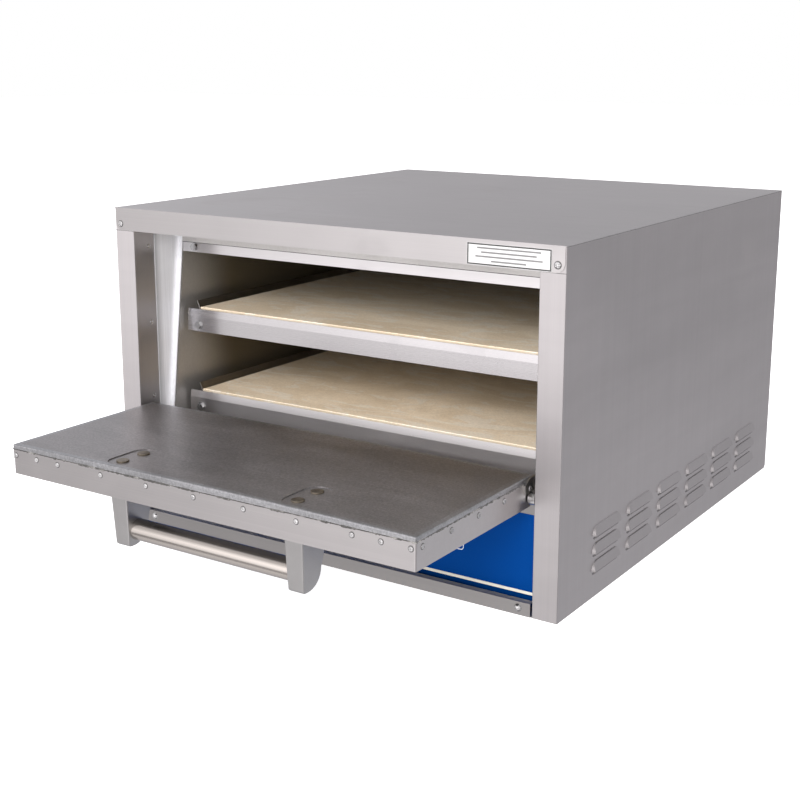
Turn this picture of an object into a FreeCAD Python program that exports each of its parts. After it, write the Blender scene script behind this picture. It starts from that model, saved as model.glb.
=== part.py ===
import FreeCAD, Part
import math
import os

from FreeCAD import Vector

# Countertop deck oven with two stone decks behind one fold-down door.
# Origin at the middle of the cabinet's base, +Z up, the front faces -Y, millimetres.
# The door is modelled folded down level, which is the rest pose.

# Cabinet
WIDTH = 660.0
DEPTH = 705.0
HEIGHT = 427.0
SHEET = 1.2
COVER = 1.0
POST_WIDTH = 31.75
FASCIA_HEIGHT = 29.6
RETURN_DEPTH = 45.0
LINER_START = 37.0
SIDE = WIDTH / 2
FRONT = -DEPTH / 2
BACK = DEPTH / 2
SKIN = SIDE - SHEET
POST_IN = SIDE - POST_WIDTH
COVER_Z = HEIGHT - COVER
FASCIA_Z = HEIGHT - FASCIA_HEIGHT

# Sloping mouth that the closed door lies against
LEAN = 6.92
MOUTH_DEPTH = 80.0
MOUTH_Z = 376.4
LINER_IN = 295.5
FLANGE_IN = 287.5
HEM_R = 1.6
LINER_BEND = 6.0

# Baking chamber
WALL = 1.0
CHAMBER_FLOOR = 118.0
CHAMBER_TOP = 379.0
CHAMBER_REAR = 625.0
RAIL_DEPTH = 81.0
RAIL_HALF = 282.0
RAIL_HEIGHT = 30.5
RAIL_SLANT = 9.5
RAIL_TOPS = {"upper": 284.5, "lower": 169.8}
RAIL_BOLT_X = 263.0
RAIL_BOLT_UP = 8.5
HEADER_BOTTOM = 363.0
HEADER_TOP = 377.6
HEADER_BOLT_X = 266.0
HEADER_BOLT_Z = 370.0
STONE_HALF = 261.5
STONE_THICK = 16.0
STONE_PROUD = 3.0
STONE_FRONT = 84.2
STONE_REAR = STONE_FRONT + 2 * STONE_HALF
ELEMENT_Z = {"top": 367.0, "middle": 244.0, "bottom": 130.0}
ELEMENT_R = 4.0
ELEMENT_RUNS = 6
ELEMENT_PITCH = 80.0

# Door, measured in the level rest pose
DOOR_HALF = 289.0
DOOR_FRONT = -228.5
DOOR_REAR = 12.0
DOOR_BOTTOM = 129.0
PAN_TOP = 159.2
GASKET_TOP = 160.4
LINER_TOP = 165.5
LINER_CROWN = 2.0
BAND_BOTTOM = 148.2
BAND_PROUD = 0.6
SCREW_Z = 152.5
HINGE_DEPTH = 25.0
HINGE_Z = 139.4
HINGE_PIN_R = 4.0
HINGE_GAP = 0.06
STOP_DEPTH = 7.0
STOP_Z = 140.0
STOP_R = 7.75
ARM_THICK = 2.5

# Handle
BRACKET_X = 127.0
BRACKET_WIDTH = 25.0
TUBE_DEPTH = -198.0
TUBE_Z = 83.5
TUBE_R = 12.7
BRACKET_DRAFT = 2.0
BRACKET_LOW = 64.5
BRACKET_TOE_R = 4.0
BRACKET_HEEL_R = 22.0
HANDLE_BOLT_DEPTHS = (-206.5, -172.5)
EMBOSS_HALF = 17.0
EMBOSS_FLOOR = 165.9

# Control panel
PANEL_DEPTH = 17.0
PANEL_THICK = 1.5
PANEL_BOTTOM = 23.0
PANEL_TOP = 116.0
PANEL_HALF = 297.5
DIAL_Z = 70.0
THERMOSTAT_X = 150.0
TIMER_X = 40.0
SWITCH_XS = {"upper": -150.0, "lower": -90.0}
SWITCH_Z = 62.0
SHAFT_R = 3.0
SHAFT_GAP = 0.06
BUSHING_R = 5.0
ROCKER_PIVOT = 22.0
ROCKER_TILT = 8.0
PILOT_Z = 98.0

# Legs, cord and louvers
LEG_X = 285.0
LEG_Y = 300.0
LEG_THREAD_R = 4.76
GLAND_X = -240.0
GLAND_Z = 55.0
GLAND_BORE_R = 7.0
LOUVER_COLUMNS = 6
LOUVER_ROWS = 3
LOUVER_FIRST = 124.0
LOUVER_PITCH = 95.0
LOUVER_HALF = 37.0
LOUVER_TOP = 90.0
LOUVER_DROP = 22.0
LOUVER_TALL = 12.5
LOUVER_PROUD = 4.2


def at(depth):
    """Y of a point that lies this far behind the cabinet's front."""
    return FRONT + depth


def mouth(z):
    """Depth of the sloping mouth plane at a height."""
    return MOUTH_DEPTH - (MOUTH_Z - z) * math.tan(math.radians(LEAN))


def box(x0, x1, d0, d1, z0, z1):
    return Part.makeBox(x1 - x0, d1 - d0, z1 - z0, Vector(x0, at(d0), z0))


def rod_x(r, x0, x1, depth, z):
    return Part.makeCylinder(r, x1 - x0, Vector(x0, at(depth), z), Vector(1, 0, 0))


def rod_y(r, d0, d1, x, z):
    return Part.makeCylinder(r, d1 - d0, Vector(x, at(d0), z), Vector(0, 1, 0))


def rod_z(r, z0, z1, x, depth):
    return Part.makeCylinder(r, z1 - z0, Vector(x, at(depth), z0), Vector(0, 0, 1))


def prism_x(points, x0, x1):
    """Closed (depth, z) outline pulled along X."""
    corners = [Vector(x0, at(d), z) for d, z in points]
    face = Part.Face(Part.makePolygon(corners + corners[:1]))
    return face.extrude(Vector(x1 - x0, 0, 0))


def prism_y(points, d0, d1):
    """Closed (x, z) outline pulled along Y."""
    corners = [Vector(x, at(d0), z) for x, z in points]
    face = Part.Face(Part.makePolygon(corners + corners[:1]))
    return face.extrude(Vector(0, d1 - d0, 0))


def prism_z(points, z0, z1):
    """Closed (x, depth) outline pulled along Z."""
    corners = [Vector(x, at(d), z0) for x, d in points]
    face = Part.Face(Part.makePolygon(corners + corners[:1]))
    return face.extrude(Vector(0, 0, z1 - z0))


def fused(shapes):
    shapes = list(shapes)
    return shapes[0].fuse(shapes[1:]).removeSplitter() if len(shapes) > 1 else shapes[0]


def without(shape, tools):
    return shape.cut(list(tools))


def mirrored(shape):
    return shape.mirror(Vector(0, 0, 0), Vector(1, 0, 0))


def both_sides(shape):
    return [shape, mirrored(shape)]


def rounded(shape, radius, chosen):
    """Fillet the straight edges whose middle point passes the test."""
    edges = [e for e in shape.Edges if chosen(e.CenterOfMass, e.tangentAt(e.FirstParameter))]
    return shape.makeFillet(radius, edges)


def upright(middle, direction):
    return abs(direction.z) > 0.99


def placed(solid, base, direction):
    """Moves a solid built upwards from the origin on to a base point, facing a direction."""
    solid.Placement = FreeCAD.Placement(base, FreeCAD.Rotation(Vector(0, 0, 1), Vector(direction)))
    return solid


def dome(radius, height, base, direction):
    """Low domed head standing on a base point."""
    ball_r = (radius ** 2 + height ** 2) / (2 * height)
    half_way = math.asin(radius / ball_r) / 2
    foot, rim, crest = Vector(0, 0, 0), Vector(radius, 0, 0), Vector(0, 0, height)
    middle = Vector(ball_r * math.sin(half_way), 0, height - ball_r * (1 - math.cos(half_way)))
    outline = [Part.makeLine(foot, rim), Part.Arc(rim, middle, crest).toShape(), Part.makeLine(crest, foot)]
    solid = Part.Face(Part.Wire(outline)).revolve(foot, Vector(0, 0, 1), 360)
    return placed(solid, base, direction)


def hexagon(across, height, base, direction):
    """Hexagonal head or nut standing on a base point."""
    reach = across / math.sqrt(3)
    ring = [Vector(reach * math.cos(math.radians(a)), reach * math.sin(math.radians(a)), 0)
            for a in range(0, 361, 60)]
    return placed(Part.Face(Part.makePolygon(ring)).extrude(Vector(0, 0, height)), base, direction)


def slot_outline(half_width, half_length, x, depth, z0, z1):
    """Round-ended slot lying along Y."""
    middle = box(x - half_width, x + half_width, depth - half_length + half_width,
                 depth + half_length - half_width, z0, z1)
    ends = [rod_z(half_width, z0, z1, x, depth + s * (half_length - half_width)) for s in (-1, 1)]
    return fused([middle] + ends)


# Places of the fasteners, as (x, z) on a front or back face or (depth, z) on a side face
EAR_SCREWS = [(s * (SIDE - 10.0), 406.0) for s in (-1, 1)]
REAR_SCREWS = [(s * 318.0, z) for s in (-1, 1) for z in (60.0, 200.0, 340.0, 415.0)]
RAIL_FRONT_BOLTS = [(s * 280.5, 8.7) for s in (-1, 1)]
RECESS_RIVETS = [(27.0, z) for z in (170.0, 272.0, 374.5)]
DOOR_FRONT_SCREWS = [-283.0, -247.5] + [70.7 * n for n in range(-3, 4)] + [247.5, 283.0]
DOOR_SIDE_SCREWS = [-216.5 + 54.7 * n for n in range(4)]
ARM_SCREW_DEPTH = 2.2
SCREW_SHANK = 2.0
DOOR_SHANK = 1.6


def louver_outline(x, y, half, z0, z1, corner, top=True):
    """D-shaped outline in the plane of a side panel, with its two upper or lower corners round."""
    sign = 1 if top else -1
    flat, crown = (z0, z1) if top else (z1, z0)
    bend = corner * math.sqrt(0.5)
    low = [Vector(x, y - half, flat), Vector(x, y + half, flat)]
    high = [Vector(x, y + half, crown - sign * corner), Vector(x, y - half, crown - sign * corner)]
    roof = [Vector(x, y + half - corner, crown), Vector(x, y - half + corner, crown)]
    mids = [Vector(x, y + s * (half - corner + bend), crown - sign * (corner - bend)) for s in (1, -1)]
    edges = [
        Part.makeLine(low[0], low[1]),
        Part.makeLine(low[1], high[0]),
        Part.Arc(high[0], mids[0], roof[0]).toShape(),
        Part.makeLine(roof[0], roof[1]),
        Part.Arc(roof[1], mids[1], high[1]).toShape(),
        Part.makeLine(high[1], low[0]),
    ]
    return Part.Wire(edges)


def louver(depth, top_z):
    """Pressed louver on the right-hand panel: metal to add and air to take away.

    A round-cornered hood slopes outwards to its lip, over a shallow dish below the lip.
    """
    y = at(depth)
    half, lip = LOUVER_HALF, top_z - LOUVER_TALL
    crest = SIDE + LOUVER_PROUD

    def under_slope(proud_top, proud_lip):
        slope = [(SIDE - 9, lip), (SIDE + proud_lip, lip), (SIDE + proud_top, top_z), (SIDE - 9, top_z)]
        return prism_y(slope, depth - half - 1, depth + half + 1)

    hood = Part.makeLoft([louver_outline(SIDE, y, half, lip, top_z, 11.5),
                          louver_outline(crest, y, half - 2.2, lip, top_z - 2.2, 9.5)], True, True)
    hollow = Part.makeLoft([louver_outline(SIDE - 1.4, y, half - 0.8, lip, top_z - 0.8, 11.0),
                            louver_outline(crest, y, half - 3.2, lip, top_z - 3.2, 8.6)], True, True)
    dish = Part.makeLoft([louver_outline(SIDE, y, half, lip - 6.0, lip, 5.0, False),
                          louver_outline(SIDE - 2.6, y, half - 1.8, lip - 4.2, lip, 3.6, False)], True, True)
    scoop = Part.makeLoft([louver_outline(SIDE + 0.01, y, half - 0.8, lip - 5.2, lip, 4.4, False),
                           louver_outline(SIDE - 1.5, y, half - 2.2, lip - 3.6, lip, 3.0, False)], True, True)
    hood = hood.common(under_slope(1.3, LOUVER_PROUD))
    hollow = hollow.common(under_slope(0.3, LOUVER_PROUD - 1.0))
    return [hood, dish], [hollow, scoop]


def side_panel():
    """Right-hand side: outer skin, front post, return behind the post, rear and bottom flanges."""
    outline = [
        (SIDE, DEPTH), (SIDE, 0), (POST_IN, 0), (POST_IN, RETURN_DEPTH),
        (POST_IN + SHEET, RETURN_DEPTH), (POST_IN + SHEET, SHEET), (SKIN, SHEET), (SKIN, DEPTH),
    ]
    shell = prism_z(outline, 0, COVER_Z)
    front_corners = [(SIDE, 0), (POST_IN, 0)]

    def on_front_corner(middle, direction):
        return upright(middle, direction) and any(
            abs(middle.x - x) < 0.1 and abs(middle.y - at(d)) < 0.1 for x, d in front_corners)

    shell = rounded(shell, 1.0, on_front_corner)
    foot = box(POST_IN - 1, SKIN, SHEET, RETURN_DEPTH + 1, -1, SHEET)
    shell = without(shell, [foot])
    rear_flange = box(308, SKIN, DEPTH - 2 * SHEET, DEPTH - SHEET, SHEET, COVER_Z)
    bottom_flange = box(306, SKIN, RETURN_DEPTH, DEPTH - 2 * SHEET, SHEET, 2 * SHEET)
    shell = fused([shell, rear_flange, bottom_flange])
    metal, air = [], []
    for column in range(LOUVER_COLUMNS):
        for row in range(LOUVER_ROWS):
            added, removed = louver(LOUVER_FIRST + LOUVER_PITCH * column, LOUVER_TOP - LOUVER_DROP * row)
            metal += added
            air += removed
    shell = without(shell.fuse(metal), air)
    holes = [rod_x(HINGE_PIN_R + 0.1, POST_IN - 1, POST_IN + 5, HINGE_DEPTH, HINGE_Z),
             rod_x(HINGE_PIN_R + 0.1, POST_IN - 1, POST_IN + 5, STOP_DEPTH, STOP_Z),
             prism_x([(DEPTH + 1, -1), (DEPTH + 1, 5), (DEPTH - 5, -1)], SKIN - 1, SIDE + 1)]
    holes += [rod_x(SCREW_SHANK, POST_IN - 1, POST_IN + 5, d, z) for d, z in RECESS_RIVETS]
    holes += [rod_y(SCREW_SHANK, -1, 5, x, z) for x, z in EAR_SCREWS if x > 0]
    holes += [rod_y(SCREW_SHANK, DEPTH - 5, DEPTH + 1, x, z) for x, z in REAR_SCREWS if x > 0]
    return without(shell, holes)


def top_cover():
    """Top sheet with a front fascia that laps the posts, inner side flanges and a rear flange."""
    half = SIDE - 1.5
    fascia = box(-half, half, -COVER, 0, FASCIA_Z, HEIGHT)

    def lower_corner(middle, direction):
        return abs(direction.y) > 0.99 and middle.z < FASCIA_Z + 1

    fascia = rounded(fascia, 11.0, lower_corner)
    top = box(-SIDE, SIDE, -COVER, DEPTH, COVER_Z, HEIGHT)
    top = rounded(top, 0.7, lambda m, t: abs(t.x) > 0.99 and m.z > HEIGHT - 0.1 and m.y < FRONT)
    sides = both_sides(box(SKIN - COVER, SKIN, 8, DEPTH - 8, 408, COVER_Z))
    rear = box(-SKIN, SKIN, DEPTH - SHEET, DEPTH, 405, COVER_Z)
    holes = [rod_y(SCREW_SHANK, -2, 1, x, z) for x, z in EAR_SCREWS]
    holes += [rod_y(SCREW_SHANK, DEPTH - 5, DEPTH + 1, x, z) for x, z in REAR_SCREWS]
    return without(fused([top, fascia, rear] + sides), holes)


def back_panel():
    """Flat back with two rows of vent slots low down and the hole for the cord gland."""
    sheet = box(-SKIN, SKIN, DEPTH - SHEET, DEPTH, SHEET, 404.5)
    cuts = [rod_y(SCREW_SHANK, DEPTH - 5, DEPTH + 1, x, z) for x, z in REAR_SCREWS]
    cuts.append(rod_y(11.1, DEPTH - 5, DEPTH + 1, GLAND_X, GLAND_Z))
    for n in range(8):
        middle = -70 + 40.0 * n
        cuts += [box(middle - 12, middle + 12, DEPTH - 5, DEPTH + 1, z, z + 4) for z in (50, 66)]
    return without(sheet, cuts)


def base_pan():
    """Floor of the cabinet with a front upstand and four threaded leg sockets."""
    sheet = box(-SKIN, SKIN, SHEET, DEPTH - SHEET, 0, SHEET)
    upstand = box(-292, 292, SHEET, 2 * SHEET, 0, 14)
    legs = [(sx * LEG_X, sy * LEG_Y - FRONT) for sx in (-1, 1) for sy in (-1, 1)]
    sockets = [rod_z(8.5, 0, 12, x, d) for x, d in legs]
    cuts = [rod_z(LEG_THREAD_R, -1, 13, x, d) for x, d in legs]
    cuts += [rod_y(2.4, 0, 5, x, z) for x, z in RAIL_FRONT_BOLTS]
    return without(fused([sheet, upstand] + sockets), cuts)


def bottom_front_rail():
    face = [(0, 0), (0, 16.5), (9, 16.5), (9, 15.3), (SHEET, 15.3), (SHEET, 0)]
    rail = prism_x(face, -297, 296)
    rail = rounded(rail, 0.8, lambda m, t: abs(t.x) > 0.99 and m.z > 16.4 and m.y < at(1))
    return without(rail, [rod_y(2.4, -1, 5, x, z) for x, z in RAIL_FRONT_BOLTS])


def front_rail_bolts():
    bolts = []
    for x, z in RAIL_FRONT_BOLTS:
        head = dome(4.8, 2.8, Vector(x, at(0), z), (0, -1, 0))
        bolts.append(head.fuse(rod_y(2.4, 0, 12, x, z)))
    return bolts


def casing_screws():
    """Round-headed screws: two through the fascia's ears, eight at the back."""
    screws = []
    for x, z in EAR_SCREWS:
        head = dome(4.2, 1.8, Vector(x, at(-COVER), z), (0, -1, 0))
        screws.append(head.fuse(rod_y(SCREW_SHANK, -COVER, 9, x, z)))
    for x, z in REAR_SCREWS:
        head = dome(4.2, 1.8, Vector(x, BACK, z), (0, 1, 0))
        screws.append(head.fuse(rod_y(SCREW_SHANK, DEPTH - 9, DEPTH, x, z)))
    return screws


def label_plate():
    return box(208.5, 313, -COVER - 0.4, -COVER, 398, 422.5)


def liner_outline(z):
    """Section of the right-hand liner at a height: wall, round bend and flange on the mouth plane."""
    face = mouth(z)
    centre_x, centre_d = LINER_IN - LINER_BEND, face - LINER_BEND
    tip = FLANGE_IN + HEM_R

    def point(x, d):
        return Vector(x, at(d), z)

    def bend(radius, start, end):
        reach = radius * math.sqrt(0.5)
        return Part.Arc(start, point(centre_x + reach, centre_d + reach), end).toShape()

    wall = point(POST_IN - WALL, LINER_START), point(LINER_IN, centre_d)
    flange = point(centre_x, face), point(tip, face)
    flange_back = point(tip, face + WALL), point(centre_x, face + WALL)
    wall_back = point(LINER_IN + WALL, centre_d), point(POST_IN, LINER_START)
    return Part.Wire([
        Part.makeLine(*wall), bend(LINER_BEND, wall[1], flange[0]), Part.makeLine(*flange),
        Part.makeLine(flange[1], flange_back[0]), Part.makeLine(*flange_back),
        bend(LINER_BEND + WALL, flange_back[1], wall_back[0]), Part.makeLine(*wall_back),
        Part.makeLine(wall_back[1], wall[0]),
    ])


def recess_liner():
    """Right-hand liner: tapered wall beside the door, bent into a sloping hemmed flange."""
    low, high = 128.2, FASCIA_Z - 0.3
    sheet = Part.makeLoft([liner_outline(low), liner_outline(high)], True, True)
    length = (high - low) / math.cos(math.radians(LEAN))
    hem = Part.makeCylinder(HEM_R, length + 8, Vector(FLANGE_IN + HEM_R, HEM_R, -4))
    hem.rotate(Vector(0, 0, 0), Vector(1, 0, 0), -LEAN)
    hem.translate(Vector(0, at(mouth(low)), low))
    ends = [box(250, SIDE, 0, 140, z, z + 12) for z in (low - 12, high)]
    return without(sheet.fuse(hem), ends)


def recess_rivets():
    rivets = []
    for d, z in RECESS_RIVETS:
        head = dome(3.0, 1.2, Vector(POST_IN, at(d), z), (-1, 0, 0))
        rivets += both_sides(head.fuse(rod_x(SCREW_SHANK, POST_IN, POST_IN + 4, d, z)))
    return rivets


def chamber_wall():
    low, high = CHAMBER_FLOOR, CHAMBER_TOP
    set_back = 2 * HEM_R + 0.4
    outline = [(mouth(low) + set_back, low), (mouth(high) + set_back, high),
               (CHAMBER_REAR, high), (CHAMBER_REAR, low)]
    return prism_x(outline, FLANGE_IN, FLANGE_IN + WALL)


def chamber_ceiling():
    front, inner = RAIL_DEPTH - SHEET - 0.1, FLANGE_IN - 1
    lip = box(-inner, inner, front, front + SHEET, HEADER_TOP - SHEET, 392)
    tongue = box(-inner, inner, front, 90, CHAMBER_TOP, CHAMBER_TOP + SHEET)
    sheet = box(-FLANGE_IN - WALL, FLANGE_IN + WALL, 90, CHAMBER_REAR, CHAMBER_TOP, CHAMBER_TOP + SHEET)
    return fused([lip, tongue, sheet])


def element_terminals():
    reach = ELEMENT_PITCH * (ELEMENT_RUNS - 1) / 2
    return [(s * reach, z) for s in (-1, 1) for z in ELEMENT_Z.values()]


def chamber_rear_wall():
    sheet = box(-FLANGE_IN - WALL, FLANGE_IN + WALL, CHAMBER_REAR, CHAMBER_REAR + SHEET,
                CHAMBER_FLOOR, CHAMBER_TOP + SHEET)
    return without(sheet, [rod_y(ELEMENT_R + 0.3, 600, 650, x, z) for x, z in element_terminals()])


def chamber_floor():
    return box(-FLANGE_IN, FLANGE_IN, 49.2, CHAMBER_REAR, CHAMBER_FLOOR, CHAMBER_FLOOR + SHEET)


def header_rail():
    d = RAIL_DEPTH
    outline = [(d, HEADER_BOTTOM), (d, HEADER_TOP), (d + 19, HEADER_TOP), (d + 19, HEADER_TOP - SHEET),
               (d + SHEET, HEADER_TOP - SHEET), (d + SHEET, HEADER_BOTTOM)]
    rail = prism_x(outline, -FLANGE_IN + 1, FLANGE_IN - 1)
    return without(rail, [rod_y(3.0, 70, 90, s * HEADER_BOLT_X, HEADER_BOLT_Z) for s in (-1, 1)])


def deck_rail(top):
    """Front rail of a deck: face with a set-back upper band, and a ledge under the stone."""
    d, bottom, ledge = RAIL_DEPTH, top - RAIL_HEIGHT, top + STONE_PROUD - STONE_THICK
    face = [(d, bottom), (d, top - RAIL_SLANT), (d + 1.6, top), (d + 1.6 + SHEET, top),
            (d + SHEET, top - RAIL_SLANT), (d + SHEET, bottom)]
    shelf = box(-STONE_HALF + 2, STONE_HALF - 2, d + SHEET, 97, ledge - SHEET, ledge)
    rail = fused([prism_x(face, -RAIL_HALF, RAIL_HALF), shelf])
    z = bottom + RAIL_BOLT_UP
    return without(rail, [rod_y(3.0, 70, 90, s * RAIL_BOLT_X, z) for s in (-1, 1)])


def deck_side_angles(top):
    """Angles along both sides of a stone: ledge, upright with a flared lip, tab and wall studs."""
    ledge = top + STONE_PROUD - STONE_THICK
    bottom = top - RAIL_HEIGHT
    inner = STONE_HALF + 0.8
    front, rear, tab_front = STONE_FRONT + 0.2, STONE_REAR - 6, RAIL_DEPTH + SHEET
    upright_part = [(inner, bottom + 1.5), (inner, top + 1), (inner + 4.2, top + 11),
                    (inner + 4.2 + SHEET, top + 11), (inner + SHEET, top + 1), (inner + SHEET, bottom + 1.5)]
    pieces = [prism_y(upright_part, front, rear)]
    pieces.append(box(inner - 17, inner + SHEET, 98, rear, ledge - SHEET, ledge))
    pieces.append(box(inner - 20, inner + 12, tab_front, front, bottom + 1.5, bottom + 15))
    for depth in (150, 345, 540):
        pieces.append(rod_x(4, inner + SHEET / 2, FLANGE_IN, depth, ledge - 8))
    angle = fused(pieces)
    z = bottom + RAIL_BOLT_UP
    return both_sides(without(angle, [rod_y(3.0, 70, front, RAIL_BOLT_X, z)]))


def deck_rear_angles():
    """One angle behind each stone, held off the rear wall by two studs."""
    angles = []
    for top in RAIL_TOPS.values():
        ledge = top + STONE_PROUD - STONE_THICK
        half = STONE_HALF - 18
        rear = STONE_REAR + 0.5
        pieces = [box(-half, half, rear - 18, rear + SHEET, ledge - SHEET, ledge)]
        pieces.append(box(-half, half, rear, rear + SHEET, ledge - SHEET, top + 2))
        pieces += [rod_y(4, rear, CHAMBER_REAR, s * 160, ledge + 8) for s in (-1, 1)]
        angles.append(fused(pieces))
    return angles


def deck_rail_bolts():
    """Hex flange bolts of the header and the two deck rails."""
    places = [(HEADER_BOLT_X, HEADER_BOLT_Z)]
    places += [(RAIL_BOLT_X, top - RAIL_HEIGHT + RAIL_BOLT_UP) for top in RAIL_TOPS.values()]
    bolts = []
    for x, z in places:
        head = hexagon(9.0, 3.4, Vector(x, at(RAIL_DEPTH), z), (0, -1, 0))
        flange = rod_y(6.2, RAIL_DEPTH - 1.0, RAIL_DEPTH, x, z)
        bolts += both_sides(fused([head, flange, rod_y(3.0, RAIL_DEPTH, STONE_FRONT + 0.2, x, z)]))
    return bolts


def stone(top):
    slab = box(-STONE_HALF, STONE_HALF, STONE_FRONT, STONE_REAR,
               top + STONE_PROUD - STONE_THICK, top + STONE_PROUD)
    return rounded(slab, 1.2, lambda m, t: abs(t.z) < 0.01 and m.z > top + STONE_PROUD - 0.1)


def element(z):
    """Tubular heating element bent into parallel runs, with both ends out through the rear wall."""
    bend = ELEMENT_PITCH / 2
    first = -ELEMENT_PITCH * (ELEMENT_RUNS - 1) / 2
    near, far, out = 170.0, 545.0, 655.0
    edges = []
    for n in range(ELEMENT_RUNS):
        x = first + ELEMENT_PITCH * n
        ends = [out if n == 0 else far, near] if n % 2 == 0 else [near, out if n == ELEMENT_RUNS - 1 else far]
        edges.append(Part.makeLine(Vector(x, at(ends[0]), z), Vector(x, at(ends[1]), z)))
        if n < ELEMENT_RUNS - 1:
            tip = at(ends[1] + (-bend if n % 2 == 0 else bend))
            turn = Part.Arc(Vector(x, at(ends[1]), z), Vector(x + bend, tip, z),
                            Vector(x + ELEMENT_PITCH, at(ends[1]), z))
            edges.append(turn.toShape())
    section = Part.Wire(Part.makeCircle(ELEMENT_R, Vector(first, at(out), z), Vector(0, 1, 0)))
    tube = Part.Wire(edges).makePipeShell([section], True, False)
    rear = CHAMBER_REAR + SHEET
    collars = [rod_y(7, rear, rear + 5, s * first, z) for s in (-1, 1)]
    return fused([tube] + collars)


def thermostat_bulb():
    """Sensing bulb along the right-hand wall of the upper chamber, on two clips."""
    x, z = FLANGE_IN - 8, 335.0
    clips = [box(x - 1, FLANGE_IN, d, d + 8, z - 5, z + 5) for d in (480, 570)]
    return fused([rod_y(3.5, 460, 600, x, z)] + clips)


def insulation_top():
    return box(-SKIN + 4, SKIN - 4, 90, 676, CHAMBER_TOP + SHEET, COVER_Z - 2)


def insulation_sides():
    return both_sides(box(FLANGE_IN + WALL, SKIN - 4, 92, 676, CHAMBER_FLOOR + 1, CHAMBER_TOP))


def insulation_rear():
    blanket = box(-FLANGE_IN, FLANGE_IN, CHAMBER_REAR + 7, 676, CHAMBER_FLOOR, CHAMBER_TOP)
    return without(blanket, [rod_y(9, 620, 680, x, z) for x, z in element_terminals()])


def insulation_bottom():
    return box(-FLANGE_IN, FLANGE_IN, 85, 676, 98, CHAMBER_FLOOR)


def door_outer_pan():
    """Brushed pan of the door, open on its inner side, with a raised band behind the screws."""
    inset = BAND_PROUD
    lower = box(-DOOR_HALF + inset, DOOR_HALF - inset, DOOR_FRONT + inset, DOOR_REAR - inset,
                DOOR_BOTTOM, BAND_BOTTOM)
    band = box(-DOOR_HALF, DOOR_HALF, DOOR_FRONT, DOOR_REAR, BAND_BOTTOM, PAN_TOP)
    solid = fused([rounded(lower, 2.0, upright), rounded(band, 2.5, upright)])
    wall = SHEET + inset
    hollow = box(-DOOR_HALF + wall, DOOR_HALF - wall, DOOR_FRONT + wall, DOOR_REAR - wall,
                 DOOR_BOTTOM + SHEET, PAN_TOP + 1)
    cuts = [hollow] + door_screw_holes()
    cuts += [rod_z(3.0, DOOR_BOTTOM - 1, DOOR_BOTTOM + 3, s * BRACKET_X, d)
             for s in (-1, 1) for d in HANDLE_BOLT_DEPTHS]
    return without(solid, cuts)


def door_screw_holes():
    holes = [rod_y(DOOR_SHANK, DOOR_FRONT - 1, DOOR_FRONT + 7, x, SCREW_Z) for x in DOOR_FRONT_SCREWS]
    for d in DOOR_SIDE_SCREWS + [ARM_SCREW_DEPTH]:
        holes += both_sides(rod_x(DOOR_SHANK, DOOR_HALF - 7, DOOR_HALF + 5, d, SCREW_Z))
    return holes


def crowned(half, front, rear, bottom, lift):
    """Block whose top is a shallow arch across the door, raised by lift."""
    side_z = LINER_TOP + lift
    corners = [Vector(-half, at(front), side_z), Vector(-half, at(front), bottom),
               Vector(half, at(front), bottom), Vector(half, at(front), side_z)]
    arch = Part.Arc(corners[3], Vector(0, at(front), side_z + LINER_CROWN), corners[0]).toShape()
    outline = Part.Wire([Part.makeLine(a, b) for a, b in zip(corners, corners[1:])] + [arch])
    return Part.Face(outline).extrude(Vector(0, rear - front, 0))


def door_inner_liner():
    """Crowned inner sheet with a rolled rim, a skirt inside the pan and two embossed bolt pads."""
    skirt = SHEET + BAND_PROUD + 0.2
    rim = crowned(DOOR_HALF, DOOR_FRONT, DOOR_REAR, GASKET_TOP, 0)
    rim = rounded(rim, 2.5, upright)
    rim = rounded(rim, 1.6, lambda m, t: m.z > LINER_TOP - 0.1)
    body = crowned(DOOR_HALF - skirt, DOOR_FRONT + skirt, DOOR_REAR - skirt, BAND_BOTTOM, -0.5)
    inner = skirt + SHEET
    hollow = crowned(DOOR_HALF - inner, DOOR_FRONT + inner, DOOR_REAR - inner, BAND_BOTTOM - 1, -WALL)
    shell = without(fused([rim, body]), [hollow])
    middle = sum(HANDLE_BOLT_DEPTHS) / 2
    half_length = EMBOSS_HALF + abs(HANDLE_BOLT_DEPTHS[0] - HANDLE_BOLT_DEPTHS[1]) / 2
    for s in (-1, 1):
        pad = slot_outline(EMBOSS_HALF + 1.2, half_length + 1.2, s * BRACKET_X, middle,
                           EMBOSS_FLOOR - WALL, LINER_TOP + 0.9)
        dish = slot_outline(EMBOSS_HALF, half_length, s * BRACKET_X, middle, EMBOSS_FLOOR, LINER_TOP + 9)
        holes = [rod_z(3.0, EMBOSS_FLOOR - 5, EMBOSS_FLOOR + 1, s * BRACKET_X, d)
                 for d in HANDLE_BOLT_DEPTHS]
        shell = without(shell.fuse(pad), [dish] + holes)
    return without(shell, door_screw_holes())


def door_gasket():
    """Thin strip in the seam between the pan and the liner."""
    outer = box(-DOOR_HALF + 0.5, DOOR_HALF - 0.5, DOOR_FRONT + 0.5, DOOR_REAR - 0.5, PAN_TOP, GASKET_TOP)
    inset = SHEET + BAND_PROUD + 0.2
    inner = box(-DOOR_HALF + inset, DOOR_HALF - inset, DOOR_FRONT + inset, DOOR_REAR - inset,
                PAN_TOP - 1, GASKET_TOP + 1)
    return without(rounded(outer, 2.2, upright), [inner])


def door_insulation():
    block = box(-DOOR_HALF + 7.5, DOOR_HALF - 7.5, DOOR_FRONT + 7.5, DOOR_REAR - 7.5,
                DOOR_BOTTOM + 2, EMBOSS_FLOOR - 2)
    return without(block, [rod_z(4, 120, 170, s * BRACKET_X, d)
                           for s in (-1, 1) for d in HANDLE_BOLT_DEPTHS])


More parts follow.
